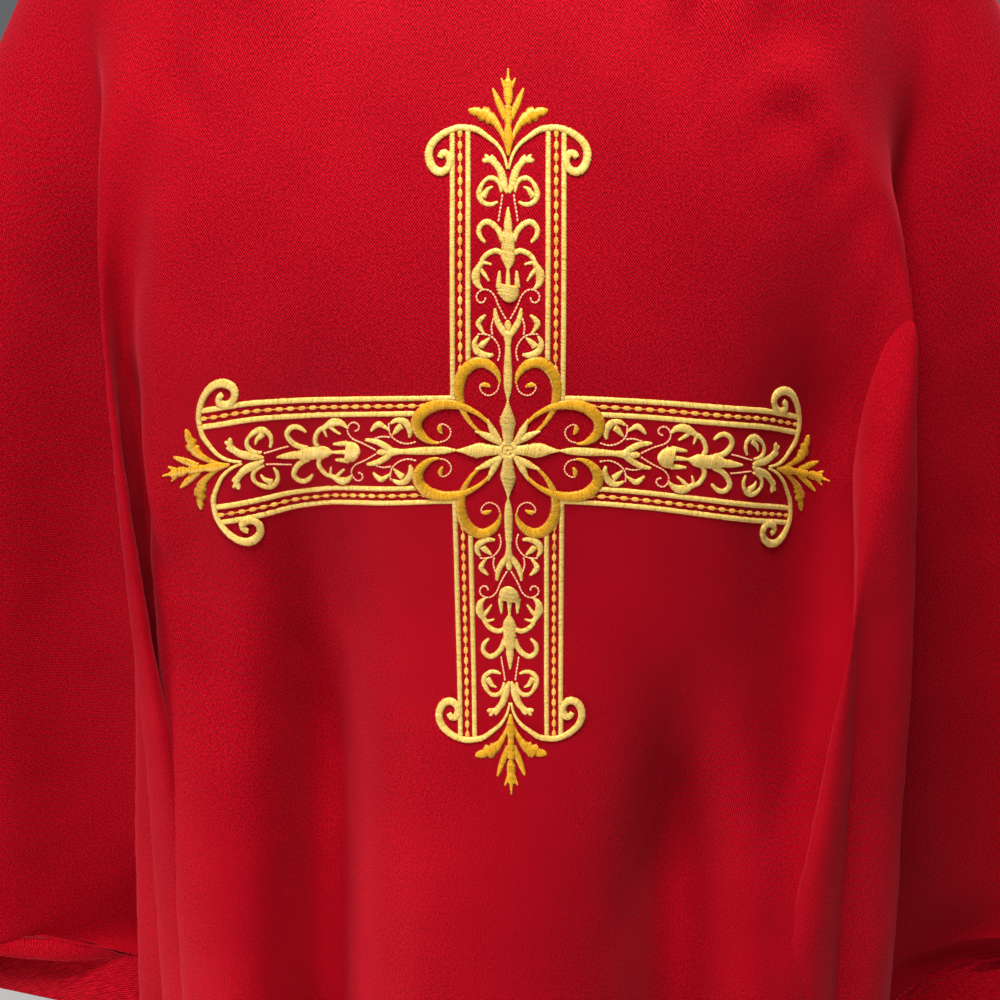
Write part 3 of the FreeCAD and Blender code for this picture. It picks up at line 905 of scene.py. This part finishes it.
def evenly(points, spacing, curved=True):
    """The points of a line again, evenly spaced, smooth through the given ones."""
    points = np.asarray(points, float)
    if curved and len(points) > 2:
        padded = np.concatenate([[2 * points[0] - points[1]], points, [2 * points[-1] - points[-2]]])
        t = np.linspace(0, 1, 12, endpoint=False)[:, None]
        dense = []
        for a, b, c, d in zip(padded, padded[1:], padded[2:], padded[3:]):
            bend, twist = 2 * a - 5 * b + 4 * c - d, 3 * b - a - 3 * c + d
            dense.append(0.5 * (2 * b + (c - a) * t + bend * t ** 2 + twist * t ** 3))
        points = np.concatenate(dense + [points[-1:]])
    along = travelled(points[:, :2])
    count = max(4, round(along[-1] / spacing) + 1)
    at = np.linspace(0, along[-1], count)
    return np.stack([np.interp(at, along, points[:, k]) for k in range(points.shape[1])], 1)


def on_cut(places, turn):
    """From an arm's own millimetres, across and outward, to the flat cut."""
    angle = math.radians(turn)
    across, outward = places[..., 0] * MM, places[..., 1] * MM
    share = np.maximum(outward / (LINE_END * MM), 0)
    at_line_end, at_tip = ARM_REACH.get(turn, (0, 0))
    outward = outward + at_line_end * np.minimum(share, 1) ** 2
    outward = outward + (at_tip - at_line_end) * smooth(1.02, 1.2, share)
    flare = 1 + ARM_FLARE.get(turn, 0) * share ** 2 * (1 - 0.35 * smooth(0.8, 1, share))
    x = across * flare * math.cos(angle) - outward * math.sin(angle) + ARM_LEAN.get(turn, 0) * share
    rise = across * flare * math.sin(angle) + outward * math.cos(angle)
    return np.stack([x, CROSS_V + rise - ARM_DROOP.get(turn, 0) * (x / (LINE_END * MM)) ** 2], -1)


THREAD_PITCH = 0.48     # mm from one satin thread to the next
SLANT = 0.10            # how far threads lean, as a share of the stitch's width
PAST_RAIL = 0.10        # mm that threads reach past the rails; the furrows stay as far inside
SATIN_HEIGHT = 0.42     # mm, and more with the width of the stitch, by the next share of it
SATIN_SWELL = 0.16
FURROW = 0.68           # height between two threads, as a share of theirs


def satin(stitches, left, right, turn, lift=0.0, fullness=1.0):
    """Satin stitch between two rails of (across, outward) in millimetres."""
    rows = len(left)
    crest = (np.arange(rows) % 2).astype(float)
    middle, half = (left + right) / 2, (right - left) / 2
    width = 2 * np.linalg.norm(half, axis=1)
    along = unit(np.gradient(middle, axis=0))
    thread_end = PAST_RAIL + random.normal(0, 0.07, rows)
    furrow_end = -PAST_RAIL + random.normal(0, 0.04, rows)
    reach_out = np.where(crest > 0, thread_end, furrow_end)
    stretch = np.maximum(1 + 2 * reach_out / np.maximum(width, 0.8), 0.3)
    other_end = np.maximum(stretch + random.normal(0, 0.05, rows), 0.3)
    height = (SATIN_HEIGHT + SATIN_SWELL * width) * fullness * np.where(crest > 0, 1, FURROW)
    height *= 1 + random.normal(0, 0.04, rows)
    ends = np.minimum(np.arange(rows), np.arange(rows)[::-1])
    height *= np.clip((ends + 1) / 3, 0.35, 1)
    dome = np.array(DOME)
    side = dome[:, 0][None, :]
    pull = np.where(side < 0, stretch[:, None], other_end[:, None])
    slant = side * SLANT * width[:, None]
    place = middle[:, None] + half[:, None] * (side * pull)[..., None] + along[:, None] * slant[..., None]
    rise = lift + height[:, None] * dome[:, 1][None, :]
    under = middle[:, None] + half[:, None] * np.array([0.8, -0.8])[None, :, None]
    place = np.concatenate([place, under], 1)
    rise = np.concatenate([rise * MM, np.full((rows, 2), -UNDERSIDE)], 1)
    # Painted shade and highlight: the furrows between threads, the sides of each thread and its underside are
    # darker, and the crests and tops lighter; the random part is the thread's own uneven tone.
    shade = 0.30 + 0.32 * crest + random.normal(0, 0.11, rows)
    tones = shade[:, None] + np.concatenate([0.20 * dome[:, 1] - 0.12, [-0.3, -0.3]])[None, :]
    cut = on_cut(place, turn)
    stitches.add(np.concatenate([cut, rise[..., None]], -1), tones)


def stroke(stitches, points, turn, mirror=1, curved=True, **looks):
    """A column of satin stitch along points of (across, outward, width)."""
    line = evenly(points, THREAD_PITCH / 2, curved)
    along = unit(np.gradient(line[:, :2], axis=0))
    side = np.stack([-along[:, 1], along[:, 0]], 1) * line[:, 2:3] / 2
    flip = np.array([mirror, 1])
    satin(stitches, (line[:, :2] - side) * flip, (line[:, :2] + side) * flip, turn, **looks)


def both(stitches, points, turn, lift=0.0, curved=True):
    for mirror in (1, -1):
        stroke(stitches, points, turn, mirror, curved, lift=lift)


def leaf(stitches, upper, lower, turn, lift=0.0):
    """A leaf with a lobed outline, from its base to its tip, on both sides of the arm."""
    rails = [evenly(rail, 0.05, curved=False) for rail in (upper, lower)]
    length = travelled(rails[0])[-1]
    share = np.linspace(0, 1, max(6, round(length / THREAD_PITCH * 2)))
    left, right = [
        np.stack([np.interp(share, np.linspace(0, 1, len(rail)), rail[:, k]) for k in (0, 1)], 1)
        for rail in rails
    ]
    for mirror in (1, -1):
        flip = np.array([mirror, 1])
        satin(stitches, left * flip, right * flip, turn, lift)


def pods(stitches, centres, directions, length, width, height, rings, lift=0.0, tone=0.55, corners=8):
    """Small rounded stitches lying at centres in the flat cut; rings are (place, share of width)."""
    angles = np.linspace(0, 2 * math.pi, corners, endpoint=False) + math.pi / corners
    along, share = np.transpose(rings)[..., None, None]
    for centre, direction in zip(centres, directions):
        side = np.array([-direction[1], direction[0]])
        place = along * direction * length / 2
        place = centre + place + side * np.cos(angles)[None, :, None] * share * width / 2
        rise = lift + height * (0.35 + 0.65 * np.sin(angles)[None, :] * share[..., 0])
        # Painted shade: the upper half of each small stitch is lighter and the lower half darker; the random
        # part is the thread's own uneven tone.
        tones = np.full(rise.shape, tone) + random.normal(0, 0.08) + 0.15 * np.sin(angles)[None, :]
        stitches.add(np.concatenate([place, rise[..., None]], -1), tones)


DASH = ((-1, 0.35), (-0.6, 1), (0.6, 1), (1, 0.35))
BEAD = (
    (-1, 0.3), (-0.8, 0.75), (-0.62, 0.7), (-0.45, 0.95), (-0.25, 0.85), (-0.08, 1.05), (0.1, 0.9),
    (0.3, 1.0), (0.48, 0.82), (0.66, 0.8), (0.82, 0.62), (1, 0.3),
)


def dashes(stitches, line, pitch, length, width, height, tone=0.55):
    """Running stitch along a line in the flat cut."""
    line = evenly(line, pitch, curved=False)
    centres = (line[1:] + line[:-1]) / 2
    pods(stitches, centres, unit(line[1:] - line[:-1]), length, width, height, DASH, tone=tone, corners=6)


# ---- the embroidery: one arm's outlines in millimetres, across and outward from the centre ----
OUTER_LINE = 26.5
INNER_LINE = 19.0
BEAD_LINE = 22.8
LINE_WIDTH = 2.5
LINE_END = 152.5
INNER_LINE_START = 45.0
BEAD_START = 40.5
BEAD_PITCH = 5.5
BEAD_COUNT = 21
BEAD_SIZE = 3.9 * MM, 2.35 * MM, 0.75 * MM          # length, width and height
LINK_SIZE = 2.4 * MM, 0.7 * MM, 0.35 * MM
TENDRIL_STITCH = 1.75 * MM, 1.6 * MM, 0.95 * MM, 0.5 * MM   # pitch, length, width and height
SPIRAL_STITCH = 1.5 * MM, 1.35 * MM, 0.85 * MM, 0.45 * MM
ARMS = {"top": 0, "right": 90, "bottom": 180, "left": 270}
ARM_FLARE = {0: -0.03, 90: 0.20, 180: -0.03, 270: 0.18}
ARM_DROOP = {90: 6.0 * MM, 270: 12.0 * MM}
ARM_REACH = {90: (3.4 * MM, 1.0 * MM), 180: (2.4 * MM, 5.0 * MM), 270: (5.3 * MM, 1.2 * MM)}
ARM_LEAN = {180: 1.8 * MM}
VOLUTE = (
    (0.3, 134, 1.2), (2, 140, 1.5), (5.2, 145, 1.9), (10.2, 149, 2.4), (14.7, 151.9, 2.8), (19, 152.8, 3),
    (23.5, 153, 3), (28, 151.7, 3.2), (32.5, 149.3, 3.4), (36, 145.8, 3.7), (37.6, 141.5, 3.9),
    (37, 137.3, 4), (34.7, 134, 4), (31.5, 133.1, 3.9), (28.6, 134.8, 3.6), (27.5, 138, 3.6),
    (28.8, 140.9, 3.7), (31, 141.2, 3.5), (32.6, 139.4, 2.6),
)
FINIAL_STEM = ((0, 140, 1.4), (0, 143.5, 2.9), (0, 148.3, 5.2), (0, 153, 3.1), (0, 157.6, 3.8), (0, 163, 3.6))
FINIAL_BUD = ((0, 162, 1), (0, 166.5, 4.3), (0, 171, 4.3), (0, 174, 4.6), (0, 175.4, 1.9), (0, 180, 0.7))
FINIAL_BARB = ((1.4, 171.5, 2.2), (2.4, 173.5, 1.6), (3.5, 175.6, 0.8))
FINIAL_LEAF = (
    (1.4, 157, 2.8), (2.4, 160, 3.4), (3.9, 163, 3.4), (5.3, 166.2, 2.9), (6.4, 168.8, 2), (7.4, 171, 0.9),
)
FINIAL_SIDE_UPPER = (
    (1.4, 147.5), (2.5, 152), (4.2, 155.6), (6, 158.5), (7.6, 160.2), (9.5, 162), (11.7, 163.2),
    (12.6, 161.4), (14, 162.4), (16, 162.6), (18.4, 161.9),
)
FINIAL_SIDE_LOWER = (
    (1.4, 144.5), (4, 149.6), (6.6, 153.2), (8.6, 154.6), (10.2, 154.4), (10.9, 156), (13.2, 155.6),
    (14.2, 158), (16.4, 158.4), (18.2, 159.6), (19, 161.2),
)
V_LEAF = (
    (0.4, 123, 1.2), (1.6, 126, 3.2), (2.6, 129.6, 4), (3.9, 133.5, 3.6), (6, 136.4, 3.2), (8.4, 138.2, 3),
    (11, 137.9, 2.6), (12, 137.4, 1.4),
)
V_LOBES = (
    ((6, 136, 2.4), (6.8, 138.2, 2.6), (8.2, 140.2, 1.4)),
    ((8.4, 138, 2), (10.2, 139.8, 1.8), (11, 140.6, 1)),
)
C_SCROLL = (
    (3.2, 123.4, 1.2), (4, 127, 2), (6, 129.4, 2.3), (8.6, 129.9, 2.4), (10.9, 128.8, 1.8),
    (12.9, 126, 2.4), (13.8, 122.8, 2.8), (13, 120, 2.6), (10.6, 118.1, 2.2), (7.7, 117.9, 2),
    (4.9, 119, 1.2),
)
C_LEAF = ((12.2, 121.2, 3.4), (10.6, 123.4, 2.6), (9.6, 124.8, 2), (7.2, 126, 0.7))
BUD = (
    (0, 87.4, 0.8), (0, 89.4, 3.2), (0, 91.4, 5.6), (0, 94, 6.8), (0, 98.6, 6.5), (0, 101.4, 6.6),
    (0, 103.6, 7.2), (0, 105.8, 4), (0, 108.4, 4), (0, 113, 2.4), (0, 116.6, 0.8),
)
UPPER_SCROLL = (
    (2.6, 101, 2.6), (4.4, 105.6, 2.8), (7.4, 108.8, 2.8), (10.5, 109.8, 2.8), (13.1, 108, 2.5),
    (13.9, 105.4, 2.4), (13, 102.8, 2.2), (10.8, 100.4, 1.2),
)
LOWER_SCROLL = ((2.9, 95.4, 2.4), (5.6, 96.5, 2.6), (9, 95.5, 2.5), (11.8, 93, 2.3), (12.9, 90, 2))
LOWER_LEAF = (
    (11, 92, 1.2), (13.4, 89.6, 2.8), (15, 86.4, 4.2), (15.2, 83.4, 4), (14.2, 80.8, 2.8),
    (11.9, 78.4, 0.8),
)
PRONGS = (
    ((14, 90.6, 1.4), (11, 91, 1.6), (7.8, 90.2, 0.9)),
    ((13.2, 88, 2.4), (11, 85.4, 1.8), (9, 82.4, 0.9)),
)
TRIDENT_CUP = ((0, 72.6, 1.6), (0, 73.4, 5), (0, 74.8, 8.2), (0, 76.8, 10.2), (0, 79, 10.8), (0, 80.6, 10.4))
TRIDENT_PRONG = ((4.5, 79.5, 2.7), (4.3, 83, 2.3), (4.1, 87.2, 1))
TRIDENT_SPIKE = ((0, 79.5, 2.4), (0, 83, 2.2), (0, 88.2, 1.2))
SPINDLE = (
    (0, 25, 0.7), (0, 27.6, 2.2), (0, 31, 3.6), (0, 37, 4.2), (0, 45, 3.5), (0, 52, 2.7), (0, 56.6, 4.2),
    (0, 59, 3),
)
FORK = ((0.6, 56.5, 2.6), (2.4, 58.9, 3.2), (4.7, 62.6, 3), (5.8, 66, 2.5), (6.3, 69.6, 1.2))
FORK_BUD = ((0, 58.6, 1.2), (0, 60.4, 2.8), (0, 62, 3.2), (0, 64, 1.4))
COMMA_LEAF = ((10.6, 66.6, 1), (12.8, 64.6, 2.4), (14, 62.4, 2.9), (12.8, 59.8, 1.9), (10.9, 57.2, 0.8))
BIG_LEAF = (
    (14.4, 56.6, 1.2), (15.9, 53.4, 2.6), (15.1, 50, 3.4), (12.2, 47.8, 3.4), (9.4, 47.3, 2.6),
    (6.9, 47.7, 1.2),
)
BIG_LEAF_HEART = ((13.2, 51.2, 3.4), (11.8, 52.9, 3), (10.6, 54, 2.4), (8.6, 55.8, 0.7))
PAIRED_LEAVES = (
    V_LEAF, *V_LOBES, C_SCROLL, C_LEAF, UPPER_SCROLL, LOWER_SCROLL, LOWER_LEAF, *PRONGS, TRIDENT_PRONG, FORK,
    COMMA_LEAF, BIG_LEAF, BIG_LEAF_HEART,
)
SINGLE_LEAVES = (SPINDLE, FORK_BUD, TRIDENT_CUP, TRIDENT_SPIKE, BUD)
TENDRILS = (
    ((0.9, 64.4), (2.9, 67.8), (4.9, 71.8), (6.4, 75.6), (8.8, 78), (11.2, 78.6), (13.7, 77.6), (15.1, 75.5),
     (14.4, 73.1), (12.6, 72.2), (11, 73.1), (10.7, 74.9)),
    ((14.7, 57.2), (12, 57.6), (8, 56.4), (5, 53), (3.9, 49.2), (4.1, 46.8), (4.9, 44.4)),
    ((6.8, 65), (7.9, 61), (7.4, 57)),
    ((4.6, 109.8), (4, 114), (3.2, 118.5), (2.7, 122.5)),
)
LOOP = (
    (12.6, 8.4, 1.3), (15.6, 11, 1.7), (18.4, 14.3, 2.1), (21.1, 19, 2.9), (23.1, 25, 4.3),
    (23.6, 31.5, 5.3), (21.8, 38, 5.7), (17.5, 42.8, 5.7), (12.5, 44, 5.2), (8.2, 42, 4.4),
    (5.2, 38.5, 2.9), (4, 35, 1.5), (4.1, 33, 0.8),
)
SPIRAL = ((4.3, 33), (4.8, 30.5), (6.8, 28.3), (9.8, 27.5), (12.3, 29), (13.6, 31.6), (12.6, 33.4))
TEARDROP = ((8.4, 31.8, 0.8), (9.8, 32.6, 2), (11.4, 32.9, 2.5), (13, 32.4, 1.2))
STAR_LEAF = (
    (0, 2.6, 4.2), (0, 6, 4.9), (0, 10, 6), (0, 14.2, 7.6), (0, 18, 5.6), (0, 21.5, 2.8), (0, 25, 0.8),
)
STAR_SIDE_LEAF = (
    (3.3, 3.5, 2.2), (5.3, 6.3, 3.4), (7, 9.4, 3.5), (8.3, 12, 2.6), (9.2, 14, 1.6), (9.8, 15.8, 0.7),
)
STAR_RING = 3.7
STAR_BUTTON = 2.6
UNDER, OVER, TOPMOST = 0.0, 0.45, 0.75      # mm that a run of stitches is lifted by those it crosses
CROSS_V = -float(np.interp(CROSS_DROP, *down_the_middle(True)))


def arm_borders(stitches, turn):
    for across, start in ((OUTER_LINE, OUTER_LINE - LINE_WIDTH / 2), (INNER_LINE, INNER_LINE_START)):
        count = round((LINE_END - start) / 12)
        line = [(across, start + (LINE_END - start) * k / count, LINE_WIDTH) for k in range(count + 1)]
        both(stitches, line, turn, curved=False)


def arm_beads(stitches, turn):
    outward = BEAD_START + BEAD_PITCH * np.arange(BEAD_COUNT)
    for side in (-1, 1):
        across = np.full(BEAD_COUNT, side * BEAD_LINE)
        centres = on_cut(np.stack([across, outward], 1), turn)
        links = on_cut(np.stack([across[1:], outward[1:] - BEAD_PITCH / 2], 1), turn)
        ahead = unit(np.gradient(centres, axis=0))
        pods(stitches, centres, ahead, *BEAD_SIZE, BEAD, tone=0.5, corners=10)
        pods(stitches, links, ahead[1:], *LINK_SIZE, DASH, tone=0.3, corners=6)


def arm_volutes(stitches, turn):
    both(stitches, VOLUTE, turn, OVER)


def arm_finial(stitches, turn):
    leaf(stitches, FINIAL_SIDE_UPPER, FINIAL_SIDE_LOWER, turn, UNDER)
    both(stitches, FINIAL_LEAF, turn, UNDER)
    both(stitches, FINIAL_BARB, turn, UNDER)
    stroke(stitches, FINIAL_BUD, turn, lift=UNDER)
    stroke(stitches, FINIAL_STEM, turn, lift=OVER)


def arm_leaves(stitches, turn):
    for points in PAIRED_LEAVES:
        both(stitches, points, turn)
    for points in SINGLE_LEAVES:
        stroke(stitches, points, turn, lift=OVER / 2, fullness=0.85)


def running(stitches, line, turn, sizes):
    """Running stitch along a line and along its mirror image."""
    for mirror in (1, -1):
        route = evenly(np.array(line) * (mirror, 1), 0.3)
        dashes(stitches, on_cut(route, turn), *sizes)


def arm_tendrils(stitches, turn):
    for tendril in TENDRILS:
        running(stitches, tendril, turn, TENDRIL_STITCH)


def centre_loops(stitches):
    for name, turn in ARMS.items():
        both(stitches, LOOP, turn, OVER if name in ("left", "right") else UNDER)
        both(stitches, TEARDROP, turn, UNDER)


def centre_spirals(stitches):
    for turn in ARMS.values():
        running(stitches, SPIRAL, turn, SPIRAL_STITCH)


def centre_star(stitches):
    for turn in ARMS.values():
        both(stitches, STAR_SIDE_LEAF, turn, OVER)
        stroke(stitches, STAR_LEAF, turn, lift=OVER)
    for radius, width in ((STAR_RING, 2.2), (STAR_BUTTON / 2, STAR_BUTTON)):
        turns = np.linspace(0, 2 * math.pi, 25)
        ring = [(radius * math.cos(t), radius * math.sin(t), width) for t in turns]
        stroke(stitches, ring, 0, lift=TOPMOST, fullness=0.8)


RUNS = {
    "borders": (arm_borders, "light_gold_thread"),
    "beads": (arm_beads, "orange_gold_thread"),
    "volutes": (arm_volutes, "light_gold_thread"),
    "finial": (arm_finial, "dark_gold_thread"),
    "leaves": (arm_leaves, "light_gold_thread"),
    "tendrils": (arm_tendrils, "cream_thread"),
}


def stitch_piece(node_name, make, slot, *turn, own_node=True):
    stitches = Stitches()
    make(stitches, *turn)
    stitches.piece(node_name + "_stitches", slot, *[node_name] * own_node)


def embroidery():
    for arm, turn in ARMS.items():
        for run, (make, slot) in RUNS.items():
            stitch_piece(arm + "_" + run, make, slot, turn)
    stitch_piece("centre_loops", centre_loops, "dark_gold_thread")
    stitch_piece("centre_spirals", centre_spirals, "cream_thread", own_node=False)
    stitch_piece("centre_star", centre_star, "light_gold_thread")


BACKING_CELLS = 84
BACKING_MARGIN = 9.0
FINIAL_END = 180.0


def embroidery_backing():
    """Cut-away backing behind the cross, with a trimmed edge that isn't quite straight."""
    half_width = (OUTER_LINE + BACKING_MARGIN) * MM
    half_length = (FINIAL_END + BACKING_MARGIN) * MM
    step = np.linspace(-half_length, half_length, BACKING_CELLS + 1)
    # The cells meet the edges of the cross's arms.
    near = np.round(np.abs(step) / half_width * 16) / 16 * half_width
    step = np.sign(step) * np.where(np.abs(step) < half_width, near, np.abs(step))
    u, v = np.meshgrid(step, step, indexing="ij")
    wavy = 0.8 * MM * np.sin(v * 210) * (np.abs(u) > half_width * 0.9)
    points = PANELS[True].at(u + wavy, CROSS_V + v, -CLOTH - FACING_GAP).reshape(-1, 3)
    faces = grid_faces(BACKING_CELLS, BACKING_CELLS)
    middle = pairs(u, v)[faces].mean(1)
    faces = faces[(np.abs(middle) < half_width).any(1)]
    used = np.unique(faces)
    renumber = np.zeros(len(points), int)
    renumber[used] = np.arange(len(used))
    piece = new_mesh("embroidery_backing_felt", points[used], renumber[faces], uv=pairs(u, v)[used])
    thicken(piece, FACING)
    finish(piece, "backing", "embroidery_backing")


TOPSTITCH = 4.0 * MM, 3.1 * MM, 0.55 * MM, 0.25 * MM    # pitch, length, width and height


def topstitching(front):
    """Sewn lines along the hem, below the neck, and beside the shoulder seams."""
    stitches = Stitches()
    hem_u = np.linspace(-HALF_WIDTH + HEM_WIDTH, HALF_WIDTH - HEM_WIDTH, 600)
    lines = [np.stack([hem_u, hem_rise(hem_u, HEM_WIDTH - 3 * MM)], 1)]
    turns = np.linspace(-1.42, 1.42, 200)
    away = BINDING_RADIUS + 4 * MM
    across, down = NECK_HALF + away, NECK_DROPS[front] + away
    lines.append(np.stack([across * np.sin(turns), -down * np.cos(turns)], 1))
    for side in (-1, 1):
        seam_u = np.linspace(NECK_HALF + 6 * MM, HALF_WIDTH - 8 * MM, 200) * side
        lines.append(np.stack([seam_u, top_edge(seam_u, front) - 3.5 * MM], 1))
    for line in lines:
        dashes(stitches, line, *TOPSTITCH)
    stitches.piece(SIDES[front] + "_topstitching", "red_twill", surface="red_sewing_thread", front=front)


# ---- the stage, the light and the camera ----
FLOOR_HALF = 6.0
FLOOR_GAP = 0.02


def floor():
    level = cad_low.z - FLOOR_GAP
    points = [(x, y, level) for x in (-FLOOR_HALF, FLOOR_HALF) for y in (-FLOOR_HALF, FLOOR_HALF)]
    piece = new_mesh("floor", points, [(0, 2, 3, 1)], smooth_shade=False)
    made, _, shader = material("floor")
    set_inputs(shader, Base_Color=(0.80, 0.79, 0.77, 1), Roughness=0.85)
    piece.data.materials.append(made)


CHEST = (0, -0.15, -0.35)
# Name, place, what it is turned to, watts, size, and spread in degrees.
LIGHTS = (
    ("key", (-0.15, -0.72, 0.90), CHEST, 34, 0.5, 180.0),
    ("low_light", (-0.62, -0.52, -0.90), (-0.03, -0.16, -0.64), 1.3, 0.3, 105.0),
    ("back_light", (0.8, 2.2, 1.0), (0, 0.1, -0.5), 32, 1.4, 180.0),
)
SKY = (0.92, 0.95, 1.0, 1)
SKY_STRENGTH = 0.14


def linked(name, data, place, ahead):
    """Puts a lamp or a camera in the scene, turned to look ahead."""
    made = bpy.data.objects.new(name, data)
    bpy.context.scene.collection.objects.link(made)
    made.location = place
    made.rotation_euler = ahead.to_track_quat("-Z", "Y").to_euler()
    return made


def studio():
    world = bpy.data.worlds.new("studio")
    bpy.context.scene.world = world
    world.use_nodes = True
    set_inputs(world.node_tree.nodes["Background"], Color=SKY, Strength=SKY_STRENGTH)
    for name, place, target, power, size, spread in LIGHTS:
        lamp = bpy.data.lights.new(name, "AREA")
        lamp.energy = power
        lamp.size = size
        lamp.spread = math.radians(spread)
        linked(name, lamp, place, Vector(target) - Vector(place)).visible_camera = False


VIEW_DISTANCE = 0.73
VIEW_PITCH = 16.0       # degrees that the camera looks down
VIEW_LENS = 54.0
CROSS_RIGHT = 0.0052    # where the cross's centre stands in the view, as a share of its distance
CROSS_UP = 0.0335


def camera():
    pitch = math.radians(VIEW_PITCH)
    ahead = Vector((0, math.cos(pitch), -math.sin(pitch)))
    up = Vector((0, math.sin(pitch), math.cos(pitch)))
    cross = Vector(PANELS[True].at([0.0], [CROSS_V])[0])
    sensor = bpy.data.cameras.new("camera")
    sensor.lens = VIEW_LENS
    sensor.clip_start = 0.02
    place = cross - VIEW_DISTANCE * (ahead + CROSS_RIGHT * Vector((1, 0, 0)) + CROSS_UP * up)
    bpy.context.scene.camera = linked("camera", sensor, place, ahead)


for is_front in SIDES:
    panel_piece(is_front)
for is_front in SIDES:
    neck_facing(is_front)
    hem_facing(is_front)
    topstitching(is_front)
shoulder_tape(1)
shoulder_tape(-1)
neck_binding()
hanger_loop()
embroidery_backing()
embroidery()
floor()
studio()
camera()
bpy.context.scene.view_settings.view_transform = "Standard"
